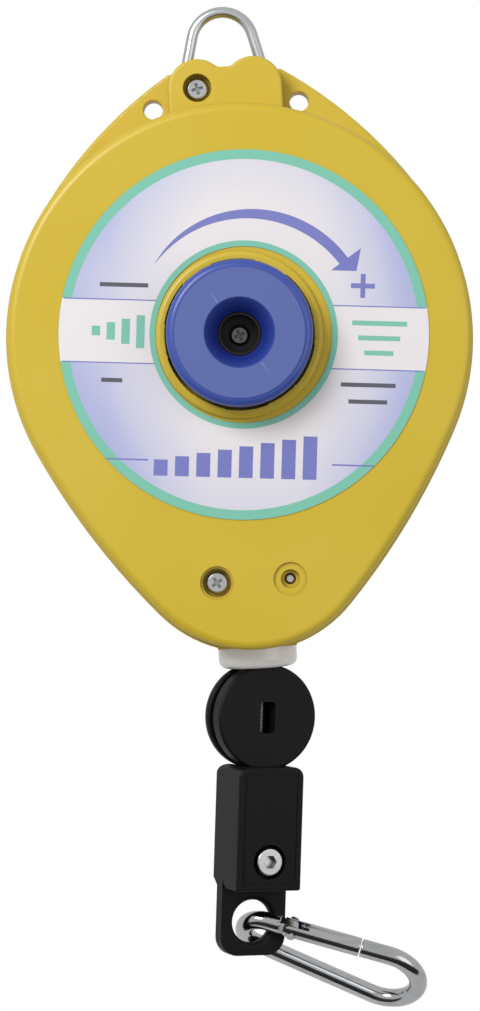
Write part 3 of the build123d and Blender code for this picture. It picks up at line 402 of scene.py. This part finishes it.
@dataclass(frozen=True)
class Finish:
    """A plastic or metal finish with grain, colour patches, wear and painted shade in its corners and
    recesses.
    """

    name: str
    ink: Ink
    worn: Ink
    roughness: float = 0.5
    metallic: float = 0.0
    coat: float = 0.0
    grain_scale: float = 900.0
    grain_height: float = 0.02
    patches: float = 0.15
    wear: float = 0.0
    streaks: float = 0.0
    # How much painted shade darkens the corners and recesses.
    painted_shade: float = 0.3
    shine: float = 0.5
    coat_roughness: ClassVar[float] = 0.15
    patch_from: ClassVar[float] = 0.35
    patch_to: ClassVar[float] = 0.75
    rough_spread: ClassVar[float] = 0.12
    worn_tint: ClassVar[float] = 0.6
    worn_rough: ClassVar[float] = 0.15
    painted_shade_tint: ClassVar[float] = 0.35
    bump: ClassVar[float] = 0.35

    def build(self, groups: dict[str, bpy.types.NodeTree]) -> bpy.types.Material:
        """Make the material.

        Args:
            groups: The shared node groups by name.

        Returns:
            The finished material.
        """
        material, graph, shader = new_material(
            self.name, Metallic=self.metallic, Coat_Weight=self.coat, Coat_Roughness=self.coat_roughness,
            Specular_IOR_Level=self.shine,
        )
        grain = graph.add("ShaderNodeGroup", node_tree=groups["grain"])
        grain.inputs["Scale"].default_value = self.grain_scale
        height, variation = grain.outputs["Height"], grain.outputs["Variation"]
        patch = graph.scaled(graph.step(variation, self.patch_from, self.patch_to), self.patches)
        colour = graph.mix(patch, self.ink.linear(), self.worn.linear())
        smoothest = self.roughness - self.rough_spread / 2
        rough = graph.math("ADD", graph.scaled(variation, self.rough_spread), smoothest)
        if self.wear > 0:
            worn = graph.add("ShaderNodeGroup", node_tree=groups["scuffs"])
            worn.inputs["Amount"].default_value = self.wear
            mask = worn.outputs["Mask"]
            colour = graph.mix(graph.scaled(mask, self.worn_tint), colour, self.worn.linear())
            rough = graph.math("ADD", rough, graph.scaled(mask, self.worn_rough))
        if self.streaks > 0:
            drawn = graph.add("ShaderNodeGroup", node_tree=groups["streaks"])
            colour = graph.mix(graph.scaled(drawn.outputs["Mask"], self.streaks), colour, self.worn.linear())
            height = graph.math("ADD", height, graph.scaled(drawn.outputs["Height"], self.streaks))
        # Painted shade: the occlusion mask darkens corners and recesses towards a dark brown.
        corner = graph.add("ShaderNodeGroup", node_tree=groups["crevices"])
        shade = graph.mix(self.painted_shade_tint, Ink.PAINTED_SHADE.linear(), self.ink.linear())
        colour = graph.mix(graph.scaled(corner.outputs["Mask"], self.painted_shade), colour, shade)
        graph.link(colour, shader.inputs["Base Color"])
        graph.link(rough, shader.inputs["Roughness"])
        graph.link(graph.bump(height, self.bump, self.grain_height * MM), shader.inputs["Normal"])
        return material


FINISHES = (
    Finish(
        "casing_yellow", Ink.YELLOW, Ink.YELLOW_DUST, 0.42, coat=0.1, grain_scale=1400, grain_height=0.05,
        patches=0.2,
    ),
    Finish("clamp_black", Ink.BLACK, Ink.BLACK_WORN, 0.5, grain_scale=700, patches=0.1, wear=0.3, shine=0.18),
    Finish("hub_black", Ink.HUB_BLACK, Ink.BLACK_WORN, 0.45, grain_height=0.01, patches=0.05, shine=0.25),
    Finish(
        "guide_nylon", Ink.NYLON, Ink.NYLON_SHADE, 0.3, coat=0.4, grain_height=0.01, patches=0.3, painted_shade=0.05
    ),
    Finish(
        "zinc_plate", Ink.ZINC, Ink.ZINC_DULL, 0.26, 1.0, grain_height=0.01, patches=0.4, wear=0.3, painted_shade=0.85
    ),
    Finish(
        "screw_dark", Ink.SCREW_DARK, Ink.STEEL_DARK, 0.24, 1.0, grain_height=0.01, patches=0.4, wear=0.45,
        painted_shade=0.85,
    ),
    Finish(
        "hook_steel", Ink.STEEL, Ink.STEEL_DARK, 0.14, 1.0, grain_height=0.004, patches=0.3, streaks=0.25,
        painted_shade=0.6,
    ),
    # The wire's colour is partly painted light, so the strands show in the shaded window.
    Finish(
        "rope_wire", Ink.ROPE_WIRE_AND_LIGHT, Ink.STEEL, 0.32, 0.6, grain_scale=2500, grain_height=0.02, patches=0.3,
        painted_shade=0.1,
    ),
    Finish("spring_blued", Ink.BLUED, Ink.STEEL_DARK, 0.35, 1.0, streaks=0.3),
    Finish("arbor_turned", Ink.STEEL, Ink.STEEL_DARK, 0.3, 1.0, streaks=0.4),
    Finish("bush_bronze", Ink.BRONZE, Ink.STEEL_DARK, 0.45, 1.0, patches=0.3),
    Finish("crimp_aluminium", Ink.ALUMINIUM, Ink.ZINC_DULL, 0.35, 1.0, patches=0.3),
    Finish("drum_moulded", Ink.DRUM_GREY, Ink.BLACK_WORN, 0.5, patches=0.2),
    Finish("ink_violet", Ink.VIOLET, Ink.LAVENDER, 0.35, coat=0.2, patches=0.1),
    Finish("ink_grey", Ink.TEXT_GREY, Ink.STEEL_DARK, 0.35, coat=0.2, patches=0.1),
    Finish("ink_teal", Ink.TEAL, Ink.LAVENDER, 0.35, coat=0.2, patches=0.1),
)

DRESS = {
    "casing_yellow": ("front_shell", "rear_shell"),
    "clamp_black": ("rope_stop", "clamp_front", "clamp_rear"),
    "hub_black": ("knob_hub",),
    "guide_nylon": ("rope_guide",),
    "zinc_plate": (
        "suspension_bail", "front_casing_screws", "rear_casing_screws", "clamp_screw", "clamp_nut",
        "drum_cover_screws", "arbor_washer",
    ),
    "screw_dark": ("hub_screw",),
    "hook_steel": ("hook_body", "hook_gate", "gate_pin"),
    "rope_wire": ("rope_lead", "rope_winding"),
    "spring_blued": ("mainspring", "knob_spring", "gate_spring", "retaining_ring"),
    "arbor_turned": ("spring_arbor",),
    "bush_bronze": ("front_bush", "rear_bush", "drum_bushes"),
    "crimp_aluminium": ("rope_sleeve", "rope_anchor"),
    "drum_moulded": ("rope_drum", "drum_cover"),
}


@dataclass(frozen=True)
class KnobFinish:
    """Blue moulded plastic with real scuffs and a pale weld line; the flat face is painted paler as lit, the
    funnel's lip gets a painted highlight and the inside of the funnel gets painted shade.
    """

    name: str = "knob_blue"
    funnel_r: float = 11.0 * MM
    face_r: float = 20.2 * MM
    weld_turn: float = math.radians(57)
    weld_w: float = 0.22 * MM
    weld_end: float = 16.0 * MM
    lip_w: float = 0.6 * MM
    lip_core: float = 0.1 * MM
    scuffed: float = 0.15
    # How much the flat face is painted paler, as lit.
    lit_and_worn: float = 0.85
    scuff_tint: float = 0.3
    weld_tint: float = 0.5
    lip_glint_tint: float = 0.18
    funnel_shade_tint: float = 0.8
    roughness: float = 0.3
    rough_spread: float = 0.2
    coat: float = 0.15
    bump: float = 0.3
    grain_height: float = 0.02 * MM
    FACE_FROM: ClassVar[float] = 1.06
    FACE_TO: ClassVar[float] = 0.98
    WELD_CORE: ClassVar[float] = 0.3
    WELD_FADE: ClassVar[float] = 0.75
    FUNNEL_SHADE_FROM: ClassVar[float] = 0.95
    FUNNEL_SHADE_TO: ClassVar[float] = 0.72

    def build(self, groups: dict[str, bpy.types.NodeTree], axis_z: float) -> bpy.types.Material:
        """Make the material.

        Args:
            groups: The shared node groups by name.
            axis_z: Height of the knob's axis.

        Returns:
            The finished material.
        """
        material, graph, shader = new_material(self.name, Coat_Weight=self.coat)
        _, across, up = graph.turned((0.0, 0.0, axis_z), 0.0)
        radius = graph.radius(across, up)
        grain = graph.add("ShaderNodeGroup", node_tree=groups["grain"])
        worn = graph.add("ShaderNodeGroup", node_tree=groups["scuffs"])
        worn.inputs["Amount"].default_value = self.scuffed
        # Painted light: the flat face is lifted towards the pale blue, and the real scuffs add to it.
        past_funnel = graph.step(radius, self.funnel_r, self.funnel_r * self.FACE_FROM)
        on_face = graph.scaled(past_funnel, graph.step(radius, self.face_r, self.face_r * self.FACE_TO))
        scuff = graph.scaled(worn.outputs["Mask"], self.scuff_tint)
        lit_and_worn = graph.math("ADD", graph.scaled(on_face, self.lit_and_worn), scuff, clamp=True)
        colour = graph.mix(lit_and_worn, Ink.KNOB_BLUE.linear(), Ink.KNOB_WORN_AND_LIT.linear())
        _, _, off_weld = graph.turned((0.0, 0.0, axis_z), self.weld_turn)
        near_weld = graph.step(graph.math("ABSOLUTE", off_weld), self.weld_w, self.weld_w * self.WELD_CORE)
        near_hole = graph.step(radius, self.weld_end, self.weld_end * self.WELD_FADE)
        weld_line = graph.scaled(graph.scaled(near_weld, near_hole), on_face)
        colour = graph.mix(graph.scaled(weld_line, self.weld_tint), colour, Ink.KNOB_WELD_AND_GLINT.linear())
        # Painted highlight: a thin pale ring on the funnel's lip.
        off_lip = graph.math("ABSOLUTE", graph.math("SUBTRACT", radius, self.funnel_r))
        lip_glint = graph.step(off_lip, self.lip_w, self.lip_core)
        colour = graph.mix(graph.scaled(lip_glint, self.lip_glint_tint), colour, Ink.KNOB_WELD_AND_GLINT.linear())
        # Painted shade: the inside of the funnel goes dark blue.
        deep = graph.step(radius, self.funnel_r * self.FUNNEL_SHADE_FROM, self.funnel_r * self.FUNNEL_SHADE_TO)
        colour = graph.mix(graph.scaled(deep, self.funnel_shade_tint), colour, Ink.KNOB_FUNNEL_SHADE.linear())
        graph.link(colour, shader.inputs["Base Color"])
        rough = graph.math("ADD", graph.scaled(grain.outputs["Variation"], self.rough_spread), self.roughness)
        graph.link(rough, shader.inputs["Roughness"])
        graph.link(graph.bump(grain.outputs["Height"], self.bump, self.grain_height), shader.inputs["Normal"])
        return material


@dataclass(frozen=True)
class LabelFinish:
    """Printed film: a white band between two lavender fields inside teal rings."""

    name: str = "label_print"
    rim_r: float = 54.4 * MM
    inner_ring_r: float = 29.2 * MM
    edge: float = 0.08 * MM
    rimward_from: float = 34.0 * MM
    rimward_to: float = 55.0 * MM
    rimward_tint: float = 0.35
    sideways_x: float = 4.0 * MM
    sideways_from: float = 16.0 * MM
    sideways_to: float = 46.0 * MM
    sideways_tint: float = 0.38
    cloud_scale: float = 9.0
    cloud_from: float = 0.4
    cloud_to: float = 0.72
    cloud_tint: float = 0.25
    pale: Point2 = (0.15, 0.8)
    strong: Point2 = (0.62, 1.3)
    ripple_scale: float = 45.0
    ripple_bump: float = 0.25
    ripple_height: float = 0.15 * MM

    def build(self, axis_z: float) -> bpy.types.Material:
        """Make the material.

        Args:
            axis_z: Height of the label's centre.

        Returns:
            The finished material.
        """
        material, graph, shader = new_material(
            self.name, Coat_Weight=0.5, Coat_Roughness=0.12, Roughness=0.38
        )
        turned, across, up = graph.turned((LABEL_X, 0.0, axis_z), -LABEL_TURN)
        radius = graph.radius(across, up)
        height = graph.math("ABSOLUTE", up)
        off_band = graph.step(height, LABEL_BAND - self.edge, LABEL_BAND + self.edge)
        shade = graph.add("ShaderNodeTexNoise")
        shade.inputs["Scale"].default_value = self.cloud_scale
        graph.link(turned, shade.inputs["Vector"])
        rimward = graph.step(radius, self.rimward_from, self.rimward_to)
        aside = graph.math("ABSOLUTE", graph.math("SUBTRACT", across, self.sideways_x))
        sideways = graph.step(aside, self.sideways_from, self.sideways_to)
        cloud = graph.step(shade.outputs[0], self.cloud_from, self.cloud_to)
        tint = graph.math(
            "ADD", graph.scaled(rimward, self.rimward_tint), graph.scaled(sideways, self.sideways_tint)
        )
        tint = graph.math("ADD", tint, graph.scaled(cloud, self.cloud_tint), clamp=True)
        field = graph.mix(graph.step(tint, *self.pale), Ink.WHITE.linear(), Ink.LAVENDER.linear())
        field = graph.mix(graph.step(tint, *self.strong), field, Ink.LAVENDER_DEEP.linear())
        colour = graph.mix(off_band, Ink.WHITE.linear(), field)
        rim = graph.scaled(graph.step(radius, self.rim_r - self.edge, self.rim_r + self.edge), off_band)
        inner = graph.step(radius, self.inner_ring_r + self.edge, self.inner_ring_r - self.edge)
        colour = graph.mix(graph.math("MAXIMUM", rim, inner), colour, Ink.TEAL.linear())
        graph.link(colour, shader.inputs["Base Color"])
        place = graph.add("ShaderNodeTexCoord")
        ripple = graph.add("ShaderNodeTexNoise")
        ripple.inputs["Scale"].default_value = self.ripple_scale
        graph.link(place.outputs["Object"], ripple.inputs["Vector"])
        raised = graph.bump(ripple.outputs[0], self.ripple_bump, self.ripple_height)
        graph.link(raised, shader.inputs["Normal"])
        return material


def finish_mesh(
    name: str, build: Callable[[bmesh.types.BMesh], None], material: bpy.types.Material
) -> bpy.types.Object:
    """Build a mesh object at the origin.

    Args:
        name: The piece's name.
        build: Fills the mesh.
        material: Its material.

    Returns:
        The new object.
    """
    mesh = bpy.data.meshes.new(name)
    work = bmesh.new()
    build(work)
    bmesh.ops.recalc_face_normals(work, faces=work.faces)
    work.to_mesh(mesh)
    work.free()
    mesh.materials.append(material)
    piece = bpy.data.objects.new(name, mesh)
    bpy.context.scene.collection.objects.link(piece)
    return piece


@dataclass
class LabelPrint:
    """The printed graphics that stand on the label's film."""

    axis_z: float
    film_y: float
    thickness: float = 0.03 * MM
    arrow_steps: int = 40
    arrow_head: float = 38.0
    arrow_tip: float = 31.0
    arrow_tail: float = 144.0
    arrow_outer: float = 40.1 * MM
    arrow_inner: float = 36.9 * MM
    arrow_tail_r: float = 35.2 * MM
    barb_outer: float = 45.1 * MM
    barb_inner: float = 33.6 * MM
    plus_angle: float = 23.8
    plus_r: float = 39.9 * MM
    plus_arm: float = 3.7 * MM
    plus_width: float = 0.75 * MM
    rim_r: float = 57.2 * MM
    hole_r: float = 27.6 * MM
    hole_gap: float = 1.6 * MM
    line: float = 0.35 * MM
    small_h: float = 1.3 * MM
    # Rows of equal bars in millimetres: how many, then the first bar's place and size, then what each next
    # bar adds to them.
    RISING: ClassVar[tuple] = (8, (-24.6, -41.9, 4.3, 5.0), (6.6, 0.6, 0.0, 1.2))
    FLANKS: ClassVar[tuple] = (2, (-35.0, -39.6, 13.0, 0.5), (70.0, 0.0, 0.0, 0.0))
    BAND_ROWS: ClassVar[tuple] = (3, (42.0, 4.6, 17.0, 1.5), (0.0, -4.6, -4.0, 0.0))
    SIDE_MARK: ClassVar[tuple] = (4, (-45.8, 0.0, 2.6, 3.0), (4.6, 0.0, 0.0, 2.4))
    # Place and width of each small line in millimetres.
    SMALL_ROWS: ClassVar[tuple] = (
        (-37.5, 14.4, 15.0), (-40.5, -15.2, 6.5), (39.0, -14.6, 17.0), (39.0, -19.8, 12.0),
    )

    def at(self, u: float, v: float, y: float) -> Vector:
        """Return the point of the frame at a label place."""
        x = u * math.cos(LABEL_TURN) - v * math.sin(LABEL_TURN)
        z = u * math.sin(LABEL_TURN) + v * math.cos(LABEL_TURN)
        return Vector((LABEL_X + x, y, self.axis_z + z))

    def plate(
        self, name: str, outlines: Iterable[Sequence[Point2]], material: bpy.types.Material
    ) -> bpy.types.Object:
        """Make flat printed shapes.

        Args:
            name: The piece's name.
            outlines: Closed outlines in label places.
            material: The ink.

        Returns:
            The printed piece, riding on the housing.
        """

        def build(work: bmesh.types.BMesh) -> None:
            """Fill the mesh with the outlines, a film's thickness deep."""
            for outline in outlines:
                low = [work.verts.new(self.at(u, v, self.film_y)) for u, v in outline]
                face = work.faces.new(low)
                raised = bmesh.ops.extrude_face_region(work, geom=[face])
                moved = [part for part in raised["geom"] if isinstance(part, bmesh.types.BMVert)]
                bmesh.ops.translate(work, verts=moved, vec=(0.0, -self.thickness, 0.0))

        piece = finish_mesh(name, build, material)
        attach(piece, "housing")
        return piece

    @staticmethod
    def polar(radius: float, angle: float) -> Point2:
        """Return the label place at a radius and an angle in degrees."""
        return radius * math.cos(math.radians(angle)), radius * math.sin(math.radians(angle))

    def arrow(self) -> list[Point2]:
        """Return the outline of the curved arrow, from its tail over the top to its tip."""
        outer, inner = [], []
        for step in range(self.arrow_steps + 1):
            share = step / self.arrow_steps
            angle = self.arrow_head + (self.arrow_tail - self.arrow_head) * share
            outer_r = self.arrow_outer + (self.arrow_tail_r - self.arrow_outer) * share**2
            inner_r = self.arrow_inner + (self.arrow_tail_r - self.arrow_inner) * share
            outer.append(self.polar(outer_r, angle))
            if step < self.arrow_steps:
                inner.append(self.polar(inner_r, angle))
        head = [
            self.polar(self.barb_outer, self.arrow_head),
            self.polar(self.arrow_outer, self.arrow_tip),
            self.polar(self.barb_inner, self.arrow_head),
        ]
        return outer[::-1] + head + inner

    def bar(self, u: float, v: float, width: float, height: float) -> list[Point2]:
        """Return a rectangle about a label place."""
        return [
            (u - width / 2, v - height / 2), (u + width / 2, v - height / 2),
            (u + width / 2, v + height / 2), (u - width / 2, v + height / 2),
        ]

    def row(self, count: int, first: Sequence[float], growth: Sequence[float]) -> list[list[Point2]]:
        """Return a row of bars that grow or move by equal steps, from sizes in millimetres."""
        return [
            self.bar(*((start + grown * step) * MM for start, grown in zip(first, growth)))
            for step in range(count)
        ]

    def band_line(self, v: float, side: int) -> list[Point2]:
        """Return one thin line along the white band's edge, left or right of the knob."""
        near = math.sqrt(self.hole_r**2 - v**2) + self.hole_gap
        far = math.sqrt(self.rim_r**2 - v**2) - self.line
        return self.bar(side * (near + far) / 2, v, far - near, self.line)

    def make(self, violet: bpy.types.Material, teal: bpy.types.Material, grey: bpy.types.Material) -> None:
        """Make every printed piece.

        Args:
            violet: The main ink.
            teal: The ink of the motifs in the white band.
            grey: The ink of the small lines.
        """
        self.plate("label_arrow", [self.arrow()], violet)
        u, v = self.polar(self.plus_r, self.plus_angle)
        arm, width = self.plus_arm, self.plus_width
        plus = [
            (u - arm, v - width), (u - width, v - width), (u - width, v - arm), (u + width, v - arm),
            (u + width, v - width), (u + arm, v - width), (u + arm, v + width), (u + width, v + width),
            (u + width, v + arm), (u - width, v + arm), (u - width, v + width), (u - arm, v + width),
        ]
        self.plate("label_plus", [plus], violet)
        lines = [self.band_line(v, side) for v in (LABEL_BAND, -LABEL_BAND) for side in (-1, 1)]
        self.plate("label_lines", lines, violet)
        self.plate("label_rising_bars", self.row(*self.RISING), violet)
        self.plate("label_flank_lines", self.row(*self.FLANKS), violet)
        self.plate("label_band_rows", self.row(*self.BAND_ROWS), teal)
        self.plate("label_side_mark", self.row(*self.SIDE_MARK), teal)
        small = [self.bar(u * MM, v * MM, width * MM, self.small_h) for u, v, width in self.SMALL_ROWS]
        self.plate("label_small_rows", small, grey)


@dataclass
class Rope:
    """The hanging end of the wire rope, as twisted strands round a core."""

    axis_z: float
    pivot_drop: float = 101.0 * MM
    lead_end: float = 97.8 * MM
    end_drop: float = 57.3 * MM
    tilt: float = math.radians(5.1)
    pivot_x: float = 1.2 * MM
    radius: float = 1.0 * MM
    strands: int = 6
    lay: float = 7.5 * MM
    stop_clear: float = 1.6 * MM
    wires_across: float = 3.0
    lap: float = 1.04
    turn_steps: int = 16
    section_steps: int = 8
    core_steps: int = 60

    def tree(self, material: bpy.types.Material) -> bpy.types.NodeTree:
        """Build the Geometry Nodes tree that twists the strands.

        Args:
            material: The wire's finish.

        Returns:
            The tree, with named inputs for the rope's sizes.
        """
        tree = bpy.data.node_groups.new("Twisted strands", "GeometryNodeTree")
        for label, kind, value in (
            ("Strands", "NodeSocketInt", self.strands),
            ("Length", "NodeSocketFloat", self.end_drop),
            ("Lay", "NodeSocketFloat", self.lay),
            ("Rope Radius", "NodeSocketFloat", self.radius),
        ):
            socket = tree.interface.new_socket(label, in_out="INPUT", socket_type=kind)
            socket.default_value = value
        tree.interface.new_socket("Geometry", in_out="OUTPUT", socket_type="NodeSocketGeometry")
        graph = Graph(tree)
        given, result = graph.add("NodeGroupInput"), graph.add("NodeGroupOutput")
        wire = graph.math("DIVIDE", given.outputs["Rope Radius"], self.wires_across)
        lane = graph.scaled(wire, 2.0)
        spiral = graph.add("GeometryNodeCurveSpiral")
        spiral.inputs["Resolution"].default_value = self.turn_steps
        lays = graph.math("DIVIDE", given.outputs["Length"], given.outputs["Lay"])
        graph.link(lays, spiral.inputs["Rotations"])
        graph.link(lane, spiral.inputs["Start Radius"])
        graph.link(lane, spiral.inputs["End Radius"])
        graph.link(given.outputs["Length"], spiral.inputs["Height"])
        section = graph.add("GeometryNodeCurvePrimitiveCircle")
        section.inputs["Resolution"].default_value = self.section_steps
        graph.link(graph.scaled(wire, self.lap), section.inputs["Radius"])
        strand = graph.add("GeometryNodeCurveToMesh")
        strand.inputs["Fill Caps"].default_value = True
        graph.link(spiral.outputs[0], strand.inputs["Curve"])
        graph.link(section.outputs[0], strand.inputs["Profile Curve"])
        points = graph.add("GeometryNodePoints")
        graph.link(given.outputs["Strands"], points.inputs["Count"])
        index = graph.add("GeometryNodeInputIndex")
        angle = graph.math("DIVIDE", graph.scaled(index.outputs[0], math.tau), given.outputs["Strands"])
        turn = graph.add("ShaderNodeCombineXYZ")
        graph.link(angle, turn.inputs[2])
        around = graph.add("GeometryNodeInstanceOnPoints")
        graph.link(points.outputs[0], around.inputs["Points"])
        graph.link(strand.outputs[0], around.inputs["Instance"])
        graph.link(turn.outputs[0], around.inputs["Rotation"])
        core_line = graph.add("GeometryNodeCurvePrimitiveLine")
        core_end = graph.add("ShaderNodeCombineXYZ")
        graph.link(given.outputs["Length"], core_end.inputs[2])
        graph.link(core_end.outputs[0], core_line.inputs["End"])
        core_steps = graph.add("GeometryNodeResampleCurve")
        core_steps.inputs["Count"].default_value = self.core_steps
        graph.link(core_line.outputs[0], core_steps.inputs["Curve"])
        core = graph.add("GeometryNodeCurveToMesh")
        core.inputs["Fill Caps"].default_value = True
        graph.link(core_steps.outputs[0], core.inputs["Curve"])
        graph.link(section.outputs[0], core.inputs["Profile Curve"])
        joined = graph.add("GeometryNodeJoinGeometry")
        graph.link(around.outputs[0], joined.inputs[0])
        graph.link(core.outputs[0], joined.inputs[0])
        real = graph.add("GeometryNodeRealizeInstances")
        graph.link(joined.outputs[0], real.inputs[0])
        smooth = graph.add("GeometryNodeSetShadeSmooth")
        graph.link(real.outputs[0], smooth.inputs[0])
        dressed = graph.add("GeometryNodeSetMaterial")
        dressed.inputs["Material"].default_value = material
        graph.link(smooth.outputs[0], dressed.inputs[0])
        graph.link(dressed.outputs[0], result.inputs[0])
        return tree

    def make(self, material: bpy.types.Material) -> bpy.types.Object:
        """Make the rope's hanging end.

        Args:
            material: The wire's finish.

        Returns:
            The rope piece.
        """
        top = self.pivot_drop - self.lead_end
        length = top + self.end_drop
        holder = bpy.data.objects.new("rope_strands", bpy.data.meshes.new("rope_strands"))
        bpy.context.scene.collection.objects.link(holder)
        modifier = holder.modifiers.new("strands", "NODES")
        modifier.node_group = self.tree(material)
        for item in modifier.node_group.interface.items_tree:
            if item.item_type == "SOCKET" and item.in_out == "INPUT" and item.name == "Length":
                modifier[item.identifier] = length
        seen = bpy.context.evaluated_depsgraph_get()
        mesh = bpy.data.meshes.new_from_object(holder.evaluated_get(seen))
        holder.modifiers.clear()
        pivot = Vector((self.pivot_x, 0.0, self.axis_z - self.pivot_drop))
        lean = Matrix.Translation(pivot) @ Matrix.Rotation(self.tilt, 4, "Y")
        mesh.transform(lean @ Matrix.Translation((0.0, 0.0, -self.end_drop)))
        holder.data = mesh
        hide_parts("rope_tail")
        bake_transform(holder)
        return holder


@dataclass
class Studio:
    """Camera, lamps, the white room and a dark card."""

    eye: Vector = field(default_factory=lambda: Vector((-2.9, -1024.0, -154.8)) * MM)
    roll: float = math.radians(3.3)
    lens: float = 114.9
    sensor: float = 36.0
    near_clip: float = 0.01
    room_light: float = 0.42
    mirrored_light: float = 0.75
    card_side: float = 0.5
    card_front: float = -0.75
    card_back: float = -0.06
    card_z: float = -0.43
    card_roughness: float = 0.9
    # Where each lamp stands, what it points at, its side and its watts.
    KEY: ClassVar[tuple] = ((-0.55, -0.9, 0.45), (0.0, 0.0, -0.12), 0.5, 10.0)
    FILL: ClassVar[tuple] = ((0.8, -0.9, -0.1), (0.0, 0.0, -0.15), 0.8, 2.0)

    def camera(self) -> None:
        """Place the camera where the photograph was taken from."""
        data = bpy.data.cameras.new("camera")
        data.sensor_fit = "VERTICAL"
        data.sensor_height = self.sensor
        data.lens = self.lens
        data.clip_start = self.near_clip
        camera = bpy.data.objects.new("camera", data)
        level = Matrix.Translation(self.eye) @ Matrix.Rotation(math.radians(90), 4, "X")
        camera.matrix_world = level @ Matrix.Rotation(-self.roll, 4, "Z")
        bpy.context.scene.collection.objects.link(camera)
        bpy.context.scene.camera = camera

    def lamp(self, name: str, place: Point3, target: Point3, size: float, watts: float) -> None:
        """Add a square soft lamp.

        Args:
            name: Its name.
            place: Where it stands.
            target: What it points at.
            size: Its side.
            watts: Its power.
        """
        data = bpy.data.lights.new(name, "AREA")
        data.size = size
        data.energy = watts
        lamp = bpy.data.objects.new(name, data)
        aim = Vector(target) - Vector(place)
        lamp.matrix_world = Matrix.Translation(place) @ aim.to_track_quat("-Z", "Y").to_matrix().to_4x4()
        bpy.context.scene.collection.objects.link(lamp)

    def card(self) -> None:
        """Make a dark card below the frame, which only the shiny surfaces mirror."""
        material, _, _ = new_material(
            "dark_card", Base_Color=Ink.HUB_BLACK.linear(), Roughness=self.card_roughness
        )

        def build(work: bmesh.types.BMesh) -> None:
            """Fill the mesh with one square."""
            front, back, side = self.card_front, self.card_back, self.card_side
            corners = ((-side, front), (side, front), (side, back), (-side, back))
            work.faces.new([work.verts.new((x, y, self.card_z)) for x, y in corners])

        piece = finish_mesh("dark_card", build, material)
        piece.visible_camera = False
        piece.visible_shadow = False
        piece.visible_diffuse = False

    def world(self) -> None:
        """Set the even light of the room, white where the camera or a shiny surface sees it."""
        world = bpy.data.worlds.new("room")
        world.use_nodes = True
        graph = Graph(world.node_tree)
        light = world.node_tree.nodes["Background"]
        light.inputs["Color"].default_value = (1.0, 1.0, 1.0, 1.0)
        rays = graph.add("ShaderNodeLightPath")
        glossy = graph.scaled(rays.outputs["Is Glossy Ray"], self.mirrored_light)
        lit = graph.math("MAXIMUM", glossy, self.room_light)
        graph.link(graph.math("MAXIMUM", rays.outputs["Is Camera Ray"], lit), light.inputs["Strength"])
        bpy.context.scene.world = world

    def make(self) -> None:
        """Make the whole studio."""
        self.camera()
        self.card()
        self.world()
        self.lamp("key", *self.KEY)
        self.lamp("fill", *self.FILL)
        bpy.context.scene.view_settings.view_transform = "Standard"


@dataclass
class Balancer:
    """The whole object, dressed node by node."""

    frame: dict
    axis_z: float = -102.0 * MM
    merge_gap: float = 0.001 * MM
    materials: dict[str, bpy.types.Material] = field(default_factory=dict)

    def build_materials(self) -> None:
        """Build the shared groups and every finish."""
        groups = {
            "grain": moulded_grain(),
            "scuffs": scuffs(),
            "streaks": drawn_streaks(),
            "crevices": crevices(),
        }
        for finish in FINISHES:
            self.materials[finish.name] = finish.build(groups)
        self.materials["knob_blue"] = KnobFinish().build(groups, self.axis_z)
        self.materials["label_print"] = LabelFinish().build(self.axis_z)

    def dress(self, node: str, finish: str) -> None:
        """Give a CAD node its finish."""
        mesh = self.frame["nodes"][node].data
        mesh.materials.clear()
        mesh.materials.append(self.materials[finish])
        LOG.info("%s wears %s", node, finish)

    def make(self) -> None:
        """Dress every node and add the printed and twisted pieces."""
        self.build_materials()
        for finish, nodes in DRESS.items():
            for node in nodes:
                self.dress(node, finish)
        self.dress("adjust_knob", "knob_blue")
        self.dress("label_disc", "label_print")
        film_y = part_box("label_disc")[0].y
        LabelPrint(self.axis_z, film_y).make(
            self.materials["ink_violet"], self.materials["ink_teal"], self.materials["ink_grey"]
        )
        Rope(self.axis_z).make(self.materials["rope_wire"])
        self.make_knob_spring()

    def make_knob_spring(self) -> None:
        """Stand in for the knob's spring with a copy whose doubled points are merged."""
        mesh = self.frame["nodes"]["knob_spring"].data.copy()
        shape = bmesh.new()
        shape.from_mesh(mesh)
        bmesh.ops.remove_doubles(shape, verts=shape.verts, dist=self.merge_gap)
        shape.to_mesh(mesh)
        shape.free()
        piece = bpy.data.objects.new("pressed_spring", mesh)
        bpy.context.scene.collection.objects.link(piece)
        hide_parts("knob_spring")
        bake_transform(piece)


def main() -> None:
    """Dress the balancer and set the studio."""
    logging.basicConfig(level=logging.INFO)
    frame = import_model()
    Balancer(frame).make()
    Studio().make()


if __name__ == "__main__":
    main()
